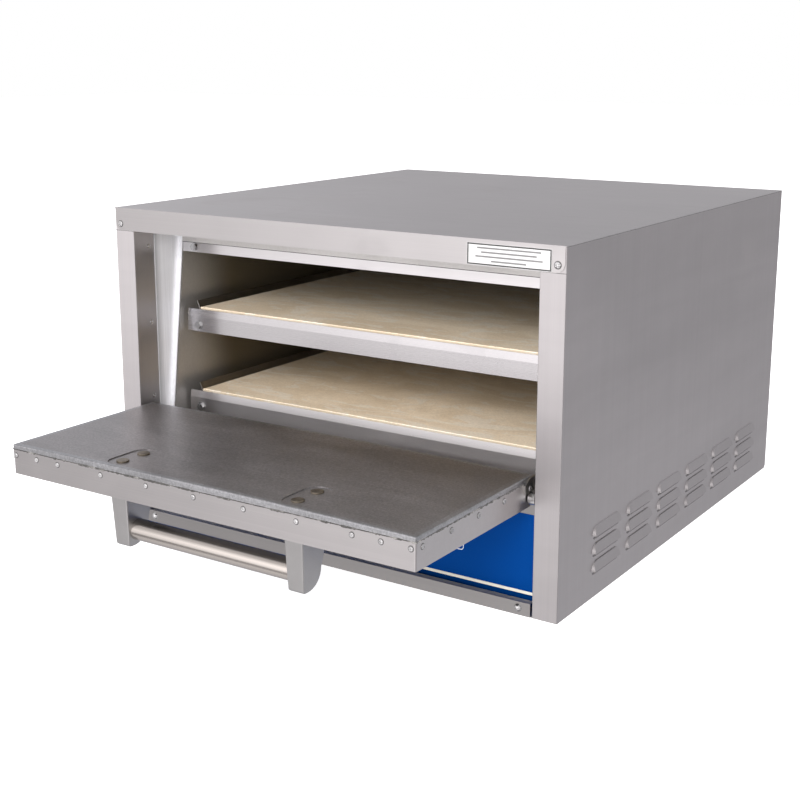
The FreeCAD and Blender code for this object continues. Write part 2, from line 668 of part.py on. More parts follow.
def door_edge_screws():
    """Small domed screws round the door's edge; the rearmost of each side holds a hinge arm."""
    screws = []
    for x in DOOR_FRONT_SCREWS:
        head = dome(3.2, 1.5, Vector(x, at(DOOR_FRONT), SCREW_Z), (0, -1, 0))
        screws.append(head.fuse(rod_y(DOOR_SHANK, DOOR_FRONT, DOOR_FRONT + 6, x, SCREW_Z)))
    for d in DOOR_SIDE_SCREWS + [ARM_SCREW_DEPTH]:
        face = DOOR_HALF + (ARM_THICK if d == ARM_SCREW_DEPTH else 0)
        head = dome(3.2, 1.5, Vector(face, at(d), SCREW_Z), (1, 0, 0))
        screws += both_sides(head.fuse(rod_x(DOOR_SHANK, DOOR_HALF - 6, face, d, SCREW_Z)))
    return screws


def handle_bracket():
    """Cast bracket under the door: leaning front, tight toe, round heel under the tube, drafted sides."""
    x0 = BRACKET_X - BRACKET_WIDTH / 2
    toe, heel = BRACKET_TOE_R, BRACKET_HEEL_R
    toe_front, heel_depth = TUBE_DEPTH - 14.5, TUBE_DEPTH - 5
    diagonal = 1 - math.sqrt(0.5)

    def point(d, z):
        return Vector(x0, at(d), z)

    top_front = point(toe_front - 3.5, DOOR_BOTTOM)
    toe_top, toe_end = point(toe_front, BRACKET_LOW + toe), point(toe_front + toe, BRACKET_LOW)
    toe_mid = point(toe_front + toe * diagonal, BRACKET_LOW + toe * diagonal)
    heel_start, heel_end = point(heel_depth, BRACKET_LOW), point(heel_depth + heel, BRACKET_LOW + heel)
    heel_mid = point(heel_depth + heel * (1 - diagonal), BRACKET_LOW + heel * diagonal)
    top_rear = point(-168, DOOR_BOTTOM)
    outline = Part.Wire([
        Part.makeLine(top_front, toe_top), Part.Arc(toe_top, toe_mid, toe_end).toShape(),
        Part.makeLine(toe_end, heel_start), Part.Arc(heel_start, heel_mid, heel_end).toShape(),
        Part.makeLine(heel_end, top_rear), Part.makeLine(top_rear, top_front),
    ])
    body = Part.Face(outline).extrude(Vector(BRACKET_WIDTH, 0, 0))
    low, high = BRACKET_LOW - 2, DOOR_BOTTOM
    for side, inward in ((x0, 1), (x0 + BRACKET_WIDTH, -1)):
        outside = side - inward * 2
        wedge = [(side, high), (side + inward * BRACKET_DRAFT, low), (outside, low), (outside, high)]
        body = body.cut(prism_y(wedge, toe_front - 6, -160))

    def on_the_sides(middle, direction):
        return abs(direction.x) < 0.06 and middle.z < DOOR_BOTTOM - 1

    body = rounded(body, 1.5, on_the_sides)
    cuts = [rod_x(TUBE_R, x0 - 1, x0 + 6, TUBE_DEPTH, TUBE_Z)]
    cuts += [rod_z(3.0, DOOR_BOTTOM - 16, DOOR_BOTTOM + 1, BRACKET_X, d) for d in HANDLE_BOLT_DEPTHS]
    return without(body, cuts)


def handle_tube():
    reach = BRACKET_X - BRACKET_WIDTH / 2 + 6
    return without(rod_x(TUBE_R, -reach, reach, TUBE_DEPTH, TUBE_Z),
                   [rod_x(TUBE_R - 1.6, -reach - 1, reach + 1, TUBE_DEPTH, TUBE_Z)])


def handle_bolts():
    """Wide low-headed bolts from the embossed pads through the door into the brackets."""
    bolts = []
    for s in (-1, 1):
        for d in HANDLE_BOLT_DEPTHS:
            head = rod_z(7.5, EMBOSS_FLOOR, EMBOSS_FLOOR + 1.9, s * BRACKET_X, d)
            head = head.makeFillet(0.7, [e for e in head.Edges if e.CenterOfMass.z > EMBOSS_FLOOR + 1.8])
            bolts.append(head.fuse(rod_z(3.0, DOOR_BOTTOM - 14, EMBOSS_FLOOR, s * BRACKET_X, d)))
    return bolts


def hinge_arm():
    """Plate on the door's right-hand end that carries the pivot boss; it rests on the stop."""
    boss_r = 9.0
    low = STOP_Z + STOP_R + 0.4
    x0, x1 = DOOR_HALF, DOOR_HALF + ARM_THICK
    outline = [(-9, low), (-9, 158), (3, 164.3), (20, 164.3), (HINGE_DEPTH + boss_r, 152),
               (HINGE_DEPTH + boss_r, HINGE_Z), (HINGE_DEPTH - boss_r, HINGE_Z), (HINGE_DEPTH - boss_r, low)]
    boss = rod_x(boss_r, x0, POST_IN - 0.85, HINGE_DEPTH, HINGE_Z)
    arm = fused([prism_x(outline, x0, x1), boss])
    slot = [box(x0 - 1, x1 + 1, 9, 13.5, 154, 160)]
    slot += [rod_x(2.25, x0 - 1, x1 + 1, 11.25, z) for z in (154, 160)]
    bore = rod_x(HINGE_PIN_R + HINGE_GAP, x0 - 1, POST_IN, HINGE_DEPTH, HINGE_Z)
    screw = rod_x(DOOR_SHANK, x0 - 1, x1 + 1, ARM_SCREW_DEPTH, SCREW_Z)
    return without(arm, slot + [bore, screw])


def hinge_pins():
    """Headed pins fixed in the posts' returns; the door's arms turn on them."""
    pin = rod_x(HINGE_PIN_R, DOOR_HALF + 0.5, POST_IN + 9, HINGE_DEPTH, HINGE_Z)
    head = rod_x(8, POST_IN + SHEET, POST_IN + SHEET + 3, HINGE_DEPTH, HINGE_Z)
    return both_sides(pin.fuse(head))


def door_stops():
    """Studs on the posts' returns that the hinge arms rest on when the door is level."""
    stud = rod_x(STOP_R, DOOR_HALF + 0.5, POST_IN, STOP_DEPTH, STOP_Z)
    stud = stud.makeFillet(0.8, [e for e in stud.Edges if abs(e.CenterOfMass.x - DOOR_HALF - 0.5) < 0.1])
    shank = rod_x(HINGE_PIN_R, POST_IN, POST_IN + 8, STOP_DEPTH, STOP_Z)
    nut = hexagon(10, 4, Vector(POST_IN + SHEET, at(STOP_DEPTH), STOP_Z), (1, 0, 0))
    return both_sides(fused([stud, shank, nut]))


def control_panel():
    """Painted front plate with a return and a lower skirt, cut for the controls."""
    front, back = PANEL_DEPTH, PANEL_DEPTH + PANEL_THICK
    outline = [(front, PANEL_BOTTOM), (front, PANEL_TOP), (back, PANEL_TOP), (back, PANEL_BOTTOM + PANEL_THICK),
               (front + 8, PANEL_BOTTOM + PANEL_THICK), (front + 8, 2), (front + 8 - PANEL_THICK, 2),
               (front + 8 - PANEL_THICK, PANEL_BOTTOM)]
    plate = prism_x(outline, -PANEL_HALF, PANEL_HALF)
    cuts = [rod_y(BUSHING_R + 0.1, 10, 22, x, DIAL_Z) for x in (THERMOSTAT_X, TIMER_X)]
    for x in SWITCH_XS.values():
        cuts.append(box(x - 10.2, x + 10.2, 10, 22, SWITCH_Z - 15.2, SWITCH_Z + 15.2))
        cuts.append(rod_y(4.6, 10, 22, x, PILOT_Z))
    return without(plate, cuts)


def panel_lower_trim():
    return box(-PANEL_HALF, PANEL_HALF, PANEL_DEPTH - 0.8, PANEL_DEPTH + 2, 19.6, PANEL_BOTTOM)


def front_sill():
    """Steel strip above the control panel, turned back under the door to the chamber floor."""
    d, top = PANEL_DEPTH, 128.0
    outline = [(d, PANEL_TOP + 0.2), (d, top), (49, top), (49, CHAMBER_FLOOR), (49 - SHEET, CHAMBER_FLOOR),
               (49 - SHEET, top - SHEET), (d + SHEET, top - SHEET), (d + SHEET, PANEL_TOP + 0.2)]
    return prism_x(outline, -PANEL_HALF, PANEL_HALF)


def dial_control(x, half_width, half_height, length):
    """Thermostat or timer behind the panel: case, bushing through the panel and its shaft."""
    case = box(x - half_width, x + half_width, 19, 19 + length, DIAL_Z - half_height, DIAL_Z + half_height)
    case = rounded(case, 3.0, lambda m, t: abs(t.y) > 0.99)
    bushing = rod_y(BUSHING_R, 13, 19, x, DIAL_Z)
    return fused([case, bushing, rod_y(SHAFT_R, 2, 13, x, DIAL_Z)])


def dial_knob(x):
    """Skirted knob with a tapered grip and a pointer ridge, bored for the shaft."""
    back, skirt_front, tip = 16.4, 13.2, -4.0
    skirt = rod_y(22, skirt_front, back, x, DIAL_Z)
    skirt = skirt.makeFillet(1.0, [e for e in skirt.Edges if abs(e.CenterOfMass.y - at(skirt_front)) < 0.1])
    grip = Part.makeCone(16.5, 14.5, skirt_front - tip, Vector(x, at(skirt_front), DIAL_Z), Vector(0, -1, 0))
    grip = grip.makeFillet(1.5, [e for e in grip.Edges if abs(e.CenterOfMass.y - at(tip)) < 0.1])
    ridge = box(x - 2.5, x + 2.5, tip - 2, skirt_front - 1, DIAL_Z, DIAL_Z + 19.5)
    ridge = rounded(ridge, 1.2, lambda m, t: abs(t.z) < 0.01 and m.y < at(tip - 1.9))
    bore = rod_y(SHAFT_R + SHAFT_GAP, 1.4, back + 1, x, DIAL_Z)
    pocket = rod_y(BUSHING_R + 0.6, 12.4, back + 1, x, DIAL_Z)
    return without(fused([skirt, grip, ridge]), [bore, pocket])


def switch_housings():
    """Bezel and body of each rocker switch, with sockets for the rocker's pivots."""
    housings = []
    for x in SWITCH_XS.values():
        bezel = box(x - 12.5, x + 12.5, 15, PANEL_DEPTH, SWITCH_Z - 17.5, SWITCH_Z + 17.5)
        bezel = rounded(bezel, 2.0, lambda m, t: abs(t.y) > 0.99)
        body = box(x - 10, x + 10, PANEL_DEPTH, 46, SWITCH_Z - 15, SWITCH_Z + 15)
        well = box(x - 8.5, x + 8.5, 14, 34, SWITCH_Z - 13.5, SWITCH_Z + 13.5)
        socket = rod_x(1.56, x - 9.7, x + 9.7, ROCKER_PIVOT, SWITCH_Z)
        housings.append(without(fused([bezel, body]), [well, socket]))
    return housings


def switch_rocker(x):
    """Rocker with a shallow V face, tipped to its off side, on two pivot stubs."""
    half = 11.8
    outline = [(11.2, SWITCH_Z + half), (13.4, SWITCH_Z), (11.2, SWITCH_Z - half), (22, SWITCH_Z - half + 1.6),
               (28, SWITCH_Z - 3), (28, SWITCH_Z + 3), (22, SWITCH_Z + half - 1.6)]
    wedge = prism_x(outline, x - 8, x + 8)
    rocker = fused([wedge, rod_x(1.5, x - 9.4, x + 9.4, ROCKER_PIVOT, SWITCH_Z)])
    rocker.rotate(Vector(x, at(ROCKER_PIVOT), SWITCH_Z), Vector(1, 0, 0), ROCKER_TILT)
    return rocker


def pilot_lights():
    lights = []
    for x in SWITCH_XS.values():
        lens = dome(5.5, 3.2, Vector(x, at(PANEL_DEPTH - 1), PILOT_Z), (0, -1, 0))
        collar = rod_y(6.5, PANEL_DEPTH - 1, PANEL_DEPTH, x, PILOT_Z)
        lights.append(fused([lens, collar, rod_y(4.5, PANEL_DEPTH, 38, x, PILOT_Z)]))
    return lights


def terminal_block():
    """Supply terminals beside the cord entry, on the base pan."""
    block = box(-215, -135, 650, 676, SHEET, 26)
    return without(block, [rod_z(4, 18, 27, -215 + 20.0 * n, 663) for n in (1, 2, 3)])


def cord_gland():
    """Flanged cable gland through the back panel, with its lock nut inside."""
    bushing = rod_y(11, DEPTH - 14, DEPTH + 14, GLAND_X, GLAND_Z)
    flange = hexagon(28, 6, Vector(GLAND_X, BACK, GLAND_Z), (0, 1, 0))
    nut = hexagon(28, 5, Vector(GLAND_X, BACK - SHEET, GLAND_Z), (0, -1, 0))
    return without(fused([bushing, flange, nut]), [rod_y(GLAND_BORE_R, 680, 730, GLAND_X, GLAND_Z)])


def save(name, shape):
    """Write one node; a list becomes a group of separate solids."""
    whole = Part.makeCompound(shape) if isinstance(shape, list) else shape
    if not whole.isValid() or not whole.Solids:
        raise RuntimeError("bad solid: " + name)
    whole.exportStep("parts/" + name + ".step")


def save_pair(stem, right):
    save(stem + "_right", right)
    save(stem + "_left", mirrored(right))


def main():
    os.makedirs("parts", exist_ok=True)
    save_pair("side_panel", side_panel())
    save_pair("recess_liner", recess_liner())
    save_pair("chamber_wall", chamber_wall())
    save_pair("handle_bracket", handle_bracket())
    save_pair("hinge_arm", hinge_arm())
    for deck, top in RAIL_TOPS.items():
        save(deck + "_deck_rail", deck_rail(top))
        save(deck + "_side_angles", deck_side_angles(top))
        save(deck + "_stone", stone(top))
    for place, z in ELEMENT_Z.items():
        save(place + "_element", element(z))
    for heat, x in SWITCH_XS.items():
        save(heat + "_heat_rocker", switch_rocker(x))
    save("thermostat", dial_control(THERMOSTAT_X, 24, 20, 42))
    save("thermostat_knob", dial_knob(THERMOSTAT_X))
    save("timer", dial_control(TIMER_X, 20, 24, 36))
    save("timer_knob", dial_knob(TIMER_X))
    singles = [
        top_cover, back_panel, base_pan, bottom_front_rail, front_rail_bolts, casing_screws, label_plate,
        recess_rivets, chamber_ceiling, chamber_rear_wall, chamber_floor, header_rail, deck_rail_bolts,
        deck_rear_angles, thermostat_bulb, insulation_top, insulation_sides, insulation_rear,
        insulation_bottom, door_outer_pan, door_inner_liner, door_gasket, door_insulation,
        door_edge_screws, handle_tube, handle_bolts, hinge_pins, door_stops, control_panel,
        panel_lower_trim, front_sill, switch_housings, pilot_lights, terminal_block, cord_gland,
    ]
    for build in singles:
        save(build.__name__, build())


main()
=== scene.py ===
import math
import random

import bmesh
import bpy
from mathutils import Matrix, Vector


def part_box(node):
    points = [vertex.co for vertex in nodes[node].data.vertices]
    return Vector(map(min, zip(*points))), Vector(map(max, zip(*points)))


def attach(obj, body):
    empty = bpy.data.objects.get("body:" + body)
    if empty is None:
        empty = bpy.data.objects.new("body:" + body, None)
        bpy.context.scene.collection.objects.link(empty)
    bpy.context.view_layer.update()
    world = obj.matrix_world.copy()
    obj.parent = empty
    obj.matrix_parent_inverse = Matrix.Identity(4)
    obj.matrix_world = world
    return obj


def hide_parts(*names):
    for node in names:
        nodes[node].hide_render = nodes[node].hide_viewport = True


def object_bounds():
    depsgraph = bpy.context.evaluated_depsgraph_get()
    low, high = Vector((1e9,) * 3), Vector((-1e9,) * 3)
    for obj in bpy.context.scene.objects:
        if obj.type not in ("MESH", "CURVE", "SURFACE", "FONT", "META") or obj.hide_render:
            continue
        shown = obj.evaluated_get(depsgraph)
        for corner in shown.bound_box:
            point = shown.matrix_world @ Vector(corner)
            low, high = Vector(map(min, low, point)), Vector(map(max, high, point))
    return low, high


# Looks of a countertop deck oven: studio, materials and finer mesh pieces over the CAD frame.
# Everything is in metres, in the frame's axes: +X right, +Y to the back, +Z up.

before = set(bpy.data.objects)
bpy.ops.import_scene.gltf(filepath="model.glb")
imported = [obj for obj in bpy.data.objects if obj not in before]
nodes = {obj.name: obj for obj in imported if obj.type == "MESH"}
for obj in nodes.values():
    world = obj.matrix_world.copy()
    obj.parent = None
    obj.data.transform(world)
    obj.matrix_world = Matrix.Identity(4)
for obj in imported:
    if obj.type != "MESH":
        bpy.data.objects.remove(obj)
cad_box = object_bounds()
MM = 0.001


# ---------------------------------------------------------------- camera and studio

CAMERA_PLACE = (0.9577, -1.6243, 0.6262)
CAMERA_AZIMUTH = 33.625
CAMERA_DROP = 12.641
CAMERA_LENS = 60.62
CAMERA_SENSOR = 36.0
CAMERA_SHIFT = (0.0067, -0.0574)
CAMERA_CLIP = (0.05, 60.0)
WHITE = (1.0, 1.0, 1.0, 1.0)


def make_camera():
    data = bpy.data.cameras.new("camera")
    data.lens = CAMERA_LENS
    data.sensor_width = CAMERA_SENSOR
    data.shift_x, data.shift_y = CAMERA_SHIFT
    data.clip_start, data.clip_end = CAMERA_CLIP
    camera = bpy.data.objects.new("camera", data)
    camera.location = CAMERA_PLACE
    camera.rotation_euler = (math.radians(90 - CAMERA_DROP), 0, math.radians(CAMERA_AZIMUTH))
    bpy.context.scene.collection.objects.link(camera)
    bpy.context.scene.camera = camera


class Graph:
    """Short calls that add and wire shader nodes in one node tree."""

    def __init__(self, tree):
        self.tree = tree

    def add(self, kind, inputs=None, **settings):
        node = self.tree.nodes.new("ShaderNode" + kind)
        for name, value in settings.items():
            setattr(node, name, value)
        for name, value in (inputs or {}).items():
            self.plug(node.inputs[name], value)
        return node

    def plug(self, socket, value):
        if isinstance(value, bpy.types.NodeSocket):
            self.tree.links.new(value, socket)
        else:
            socket.default_value = value

    def math(self, operation, a, b=0.0):
        return self.add("Math", {0: a, 1: b}, operation=operation).outputs[0]

    def product(self, values):
        """All the values multiplied together, in their order."""
        result = values[0]
        for value in values[1:]:
            result = self.math("MULTIPLY", result, value)
        return result

    def vector(self, operation, a, b):
        node = self.add("VectorMath", {0: a, 1: b}, operation=operation)
        return node.outputs["Value" if operation == "DOT_PRODUCT" else "Vector"]

    def remap(self, value, start, end, low, high, smooth=False):
        """Goes from low to high while the value goes from start to end, and stays level outside."""
        kind = "SMOOTHSTEP" if smooth else "LINEAR"
        sockets = {"Value": value, "From Min": start, "From Max": end, "To Min": low,
                   "To Max": high}
        return self.add("MapRange", sockets, interpolation_type=kind).outputs[0]

    def mix(self, factor, a, b, blend="MIX"):
        node = self.add("Mix", {0: factor, 6: a, 7: b}, data_type="RGBA", blend_type=blend)
        return node.outputs[2]

    def scaled(self, vector, scale):
        return self.vector("MULTIPLY", vector, scale)

    def noise(self, vector, scale=1.0, detail=3.0, roughness=0.55, distortion=0.0):
        sockets = {"Vector": vector, "Scale": scale, "Detail": detail, "Roughness": roughness,
                   "Distortion": distortion}
        return self.add("TexNoise", sockets).outputs[0]

    def bump(self, height, strength, distance):
        sockets = {"Height": height, "Strength": strength, "Distance": distance}
        return self.add("Bump", sockets).outputs[0]


def rgb(red, green, blue):
    return (red, green, blue, 1.0)


def make_world():
    """Soft room light: brightest in front, dimmer on the right and overhead, white as a backdrop.

    Each remap turns how nearly a direction agrees with one of the four below into a strength.
    """
    world = bpy.data.worlds.new("studio")
    bpy.context.scene.world = world
    world.use_nodes = True
    world.node_tree.nodes.clear()
    graph = Graph(world.node_tree)
    way = graph.add("TexCoord").outputs["Generated"]
    front = graph.vector("DOT_PRODUCT", way, (0.12, -0.992, 0.0))
    left = graph.vector("DOT_PRODUCT", way, (-0.94, 0.34, 0.0))
    up = graph.vector("DOT_PRODUCT", way, (0.0, 0.0, 1.0))
    right = graph.vector("DOT_PRODUCT", way, (0.90, -0.43, 0.0))
    ahead = graph.remap(front, -0.3, 0.4, 0.0, 1.0, True)
    # In front, from the horizon down: a dim band, a pale one, and dark straight below.
    below_front = graph.product([
        graph.remap(up, -0.40, -0.22, 0.34, 1.0, True),
        graph.remap(up, -0.62, -0.46, 2.9, 1.0, True),
        graph.remap(up, -0.97, -0.84, 0.3, 1.0, True),
    ])
    # Behind: a little brighter under the horizon, and dim straight below.
    below_back = graph.product([
        graph.remap(up, -0.38, -0.14, 1.32, 1.0, True),
        graph.remap(up, -0.75, -0.50, 0.62, 1.0, True),
    ])
    strength = graph.product([
        graph.remap(front, 0.54, 0.84, 0.76, 1.68, True),
        graph.remap(front, -0.9, 0.3, 0.60, 1.0),
        graph.remap(left, 0.76, 0.95, 1.0, 1.35, True),
        graph.remap(right, 0.3, 0.8, 1.0, 0.70, True),
        graph.remap(up, -0.03, 0.10, 1.0, 1.17, True),
        graph.remap(up, 0.26, 0.5, 1.0, 0.75, True),
        graph.remap(ahead, 0.0, 1.0, below_back, below_front),
    ])
    warmth = graph.remap(front, -0.6, 0.6, 0.0, 1.0, True)
    tint = graph.mix(warmth, rgb(0.985, 0.975, 1.02), rgb(1.0, 0.968, 0.978))
    room = graph.add("Background", {"Color": tint, "Strength": strength}).outputs[0]
    paper = graph.add("Background", {"Color": WHITE, "Strength": 1.0}).outputs[0]
    seen = graph.add("LightPath").outputs["Is Camera Ray"]
    both = graph.add("MixShader", {0: seen, 1: room, 2: paper}).outputs[0]
    graph.plug(graph.add("OutputWorld").inputs["Surface"], both)


def make_light(name, place, target, size, power, color):
    """Rectangular soft box that no surface mirrors."""
    data = bpy.data.lights.new(name, "AREA")
    data.shape = "RECTANGLE"
    data.size, data.size_y = size
    data.energy = power
    data.color = color
    light = bpy.data.objects.new(name, data)
    light.location = place
    light.rotation_euler = (Vector(target) - Vector(place)).to_track_quat("-Z", "Y").to_euler()
    light.visible_glossy = False
    bpy.context.scene.collection.objects.link(light)


def make_floor():
    """Plain white floor, brightened away from the object until it joins the backdrop."""
    mesh = bpy.data.meshes.new("floor")
    reach, gap = 14.0, 0.2 * MM
    corners = [(-reach, -reach, 0), (reach, -reach, 0), (reach, reach, 0), (-reach, reach, 0)]
    mesh.from_pydata(corners, [], [(0, 1, 2, 3)])
    floor = bpy.data.objects.new("floor", mesh)
    floor.location.z = cad_box[0].z - gap
    bpy.context.scene.collection.objects.link(floor)
    floor.visible_glossy = False
    material = bpy.data.materials.new("floor")
    material.use_nodes = True
    material.node_tree.nodes.clear()
    graph = Graph(material.node_tree)
    place = graph.add("TexCoord").outputs["Object"]
    away = graph.add("VectorMath", {0: place}, operation="LENGTH").outputs["Value"]
    glow = graph.remap(away, 0.45, 1.1, 0.85, 1.0, True)
    shader = graph.add("BsdfPrincipled", {"Base Color": rgb(0.9, 0.9, 0.9), "Roughness": 0.9,
                                          "Emission Strength": glow,
                                          "Emission Color": WHITE})
    graph.plug(graph.add("OutputMaterial").inputs["Surface"], shader.outputs[0])
    mesh.materials.append(material)


def make_studio():
    make_camera()
    make_world()
    make_floor()
    make_light("key", place=(0.6, -2.2, 1.05), target=(0.0, 0.0, 0.25), size=(1.2, 1.0),
               power=44.0, color=(1.0, 0.985, 0.97))
    make_light("overhead", place=(0.3, 0.2, 3.0), target=(0.0, -0.1, 0.0), size=(2.6, 2.6),
               power=45.0, color=(1.0, 1.0, 1.0))
    bpy.context.scene.view_settings.view_transform = "Standard"


# ---------------------------------------------------------------- materials

# Painted shade on a sheet before its bend: its tone, and how far it fades out.
PAINTED_SHADE_TONE = 0.60
PAINTED_SHADE_FADE = 13 * MM


def along_axis(axis, along, across):
    """One number for the named axis and another for the other two."""
    return tuple(along if name == axis else across for name in "XYZ")


def start_material(name, **constants):
    """A new material with a Principled shader, and its graph and object coordinates."""
    material = bpy.data.materials.new(name)
    material.use_nodes = True
    material.node_tree.nodes.clear()
    graph = Graph(material.node_tree)
    sockets = {key.replace("_", " ").title().replace("Ior", "IOR"): value
               for key, value in constants.items()}
    shader = graph.add("BsdfPrincipled", sockets)
    graph.plug(graph.add("OutputMaterial").inputs["Surface"], shader.outputs[0])
    return material, graph, shader, graph.add("TexCoord").outputs["Object"]


def border(graph, place, axis, start, end, middle=0.0):
    """Grows from 0 to 1 while the distance from the middle, along one axis, passes start to end."""
    along = graph.add("SeparateXYZ", {0: place}).outputs[axis]
    apart = graph.math("ABSOLUTE", graph.math("SUBTRACT", along, middle))
    return graph.remap(apart, start, end, 0.0, 1.0, True)


def facing(graph, way, value):
    """Painted light and shade by direction: this value on faces that look one way, and 1 elsewhere.
    """
    normal = graph.add("TexCoord").outputs["Normal"]
    toward = graph.vector("DOT_PRODUCT", normal, way)
    return graph.remap(toward, 0.93, 0.99, 1.0, value, True)


def across_grain(graph, axis):
    """World direction across the grain on the surface, along which highlights are drawn out.

    The small constant keeps it from vanishing where the surface looks along the grain.
    """
    grain = graph.add("VectorTransform", {"Vector": along_axis(axis, 1.0, 0.0)},
                      vector_type="VECTOR", convert_from="OBJECT", convert_to="WORLD").outputs[0]
    normal = graph.add("NewGeometry").outputs["Normal"]
    across = graph.vector("CROSS_PRODUCT", normal, grain)
    return graph.vector("ADD", across, (0.0011, 0.0013, 0.0017))


def brushed_steel(name, color, axis, roughness=0.30, anisotropy=0.75, streaks=0.07, clouds=0.06,
                  smears=0.0, metallic=1.0, painted_front_light=1.0, painted_under_shade=1.0, painted_shade_until=0.0):
    """Sheet metal with a fine straight grain along one axis, soft clouds, wiped smears and smudges.

    Painted light and shade: front and downward faces are lighter or darker by the front and under
    factors. A sheet bending out of the shade gets painted shade up to a place along Y, fading
    behind it.
    """
    material, graph, shader, place = start_material(name, metallic=metallic, anisotropic=anisotropy)
    fine = graph.noise(graph.scaled(place, along_axis(axis, 2.0, 1400.0)), 1.0, 4.0, 0.65)
    bands = graph.noise(graph.scaled(place, along_axis(axis, 1.1, 120.0)), 1.0, 3.0, 0.6)
    cloud = graph.noise(place, 4.5, 4.0, 0.55, 0.4)
    wiped = graph.noise(graph.scaled(place, (1.6, 1.6, 17.0)), 1.0, 4.0, 0.55, 0.5)
    tones = [
        graph.remap(fine, 0.3, 0.7, 1 - streaks, 1 + streaks),
        graph.remap(bands, 0.3, 0.7, 1 - streaks / 2, 1 + streaks / 2),
        graph.remap(cloud, 0.3, 0.7, 1 - clouds, 1 + clouds),
        graph.remap(wiped, 0.3, 0.7, 1 - smears, 1 + smears),
    ]
    # Painted light and shade on faces that look to the front and down.
    if painted_front_light != 1.0:
        tones.append(facing(graph, (0.0, -1.0, 0.0), painted_front_light))
    if painted_under_shade != 1.0:
        tones.append(facing(graph, (0.0, 0.0, -1.0), painted_under_shade))
    # Painted shade in front of a place along Y, where the sheet bends out of the shade.
    if painted_shade_until:
        depth = graph.add("SeparateXYZ", {0: place}).outputs["Y"]
        tones.append(graph.remap(depth, painted_shade_until, painted_shade_until + PAINTED_SHADE_FADE, PAINTED_SHADE_TONE, 1.0, True))
    toned = graph.mix(1.0, rgb(*color), graph.product(tones), "MULTIPLY")
    graph.plug(shader.inputs["Base Color"], toned)
    touched = graph.noise(graph.scaled(place, (9.0, 9.0, 9.0)), 1.0, 5.0, 0.6, 0.8)
    rough = graph.math("ADD", graph.remap(fine, 0.3, 0.7, roughness - 0.03, roughness + 0.04),
                       graph.remap(touched, 0.52, 0.75, 0.0, 0.08, True))
    graph.plug(shader.inputs["Roughness"], rough)
    graph.plug(shader.inputs["Normal"], graph.bump(fine, 0.01, 0.2 * MM))
    graph.plug(shader.inputs["Tangent"], across_grain(graph, axis))
    return material


def door_inside_steel():
    """Darker inner sheet of the door: grainy, wiped, scratched by pans, with a paler, bluish rim.
    """
    low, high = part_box("door_inner_liner")
    middle, reach = (low + high) / 2, (high - low) / 2
    material, graph, shader, place = start_material("door_inside", metallic=1.0, anisotropic=0.6)
    fine = graph.noise(graph.scaled(place, (3.0, 700.0, 700.0)), 1.0, 4.0, 0.65)
    grit = graph.noise(place, 380.0, 3.0, 0.8)
    wiped = graph.noise(graph.scaled(place, (5.0, 11.0, 5.0)), 1.0, 5.0, 0.6, 1.2)
    stain = graph.noise(place, 16.0, 6.0, 0.7, 0.6)
    light = graph.product([
        graph.remap(fine, 0.3, 0.7, 0.93, 1.06),
        graph.remap(grit, 0.35, 0.68, 0.76, 1.22),
        graph.remap(wiped, 0.3, 0.7, 0.84, 1.12),
    ])
    pale = graph.remap(stain, 0.60, 0.74, 0.0, 0.35, True)
    rim = graph.math("MAXIMUM", border(graph, place, "X", reach.x - 9 * MM, reach.x - 6 * MM),
                     border(graph, place, "Y", reach.y - 8 * MM, reach.y - 5 * MM, middle.y))
    plain = graph.mix(rim, rgb(0.44, 0.425, 0.427), rgb(0.50, 0.505, 0.52))
    steel = graph.mix(1.0, plain, light, "MULTIPLY")
    drift = graph.noise(graph.scaled(place, (5.0, 8.0, 5.0)), 1.0, 2.5, 0.5, 0.8)
    near = graph.math("ABSOLUTE", graph.math("SUBTRACT", drift, 0.5))
    scratched = graph.math("MULTIPLY", graph.remap(near, 0.001, 0.004, 0.55, 0.0),
                           graph.remap(stain, 0.45, 0.55, 0.0, 1.0))
    worn = graph.math("MAXIMUM", scratched, pale)
    graph.plug(shader.inputs["Base Color"], graph.mix(worn, steel, rgb(0.50, 0.49, 0.49)))
    rough = graph.math("ADD", graph.remap(grit, 0.3, 0.7, 0.33, 0.42),
                       graph.remap(wiped, 0.4, 0.7, 0.0, 0.06))
    graph.plug(shader.inputs["Roughness"], rough)
    graph.plug(shader.inputs["Normal"], graph.bump(grit, 0.10, 0.15 * MM))
    graph.plug(shader.inputs["Tangent"], across_grain(graph, "X"))
    return material


def aluminised_sheet():
    """Dull coated sheet of the chamber, browned by baking from just behind the mouth."""
    material, graph, shader, place = start_material("aluminised", metallic=0.85)
    spangle = graph.noise(place, 260.0, 3.0, 0.7)
    cloud = graph.noise(place, 7.0, 4.0, 0.6, 0.5)
    depth = graph.add("SeparateXYZ", {0: place}).outputs["Y"]
    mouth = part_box("chamber_ceiling")[0].y
    baked = graph.remap(depth, mouth + 4 * MM, mouth + 110 * MM, 0.0, 1.0, True)
    clean = graph.mix(spangle, rgb(0.58, 0.565, 0.55), rgb(0.70, 0.685, 0.67))
    brown = graph.mix(cloud, rgb(0.20, 0.17, 0.115), rgb(0.28, 0.24, 0.17))
    graph.plug(shader.inputs["Base Color"], graph.mix(baked, clean, brown))
    graph.plug(shader.inputs["Roughness"], graph.remap(cloud, 0.3, 0.7, 0.44, 0.58))
    graph.plug(shader.inputs["Normal"], graph.bump(spangle, 0.12, 0.1 * MM))
    return material


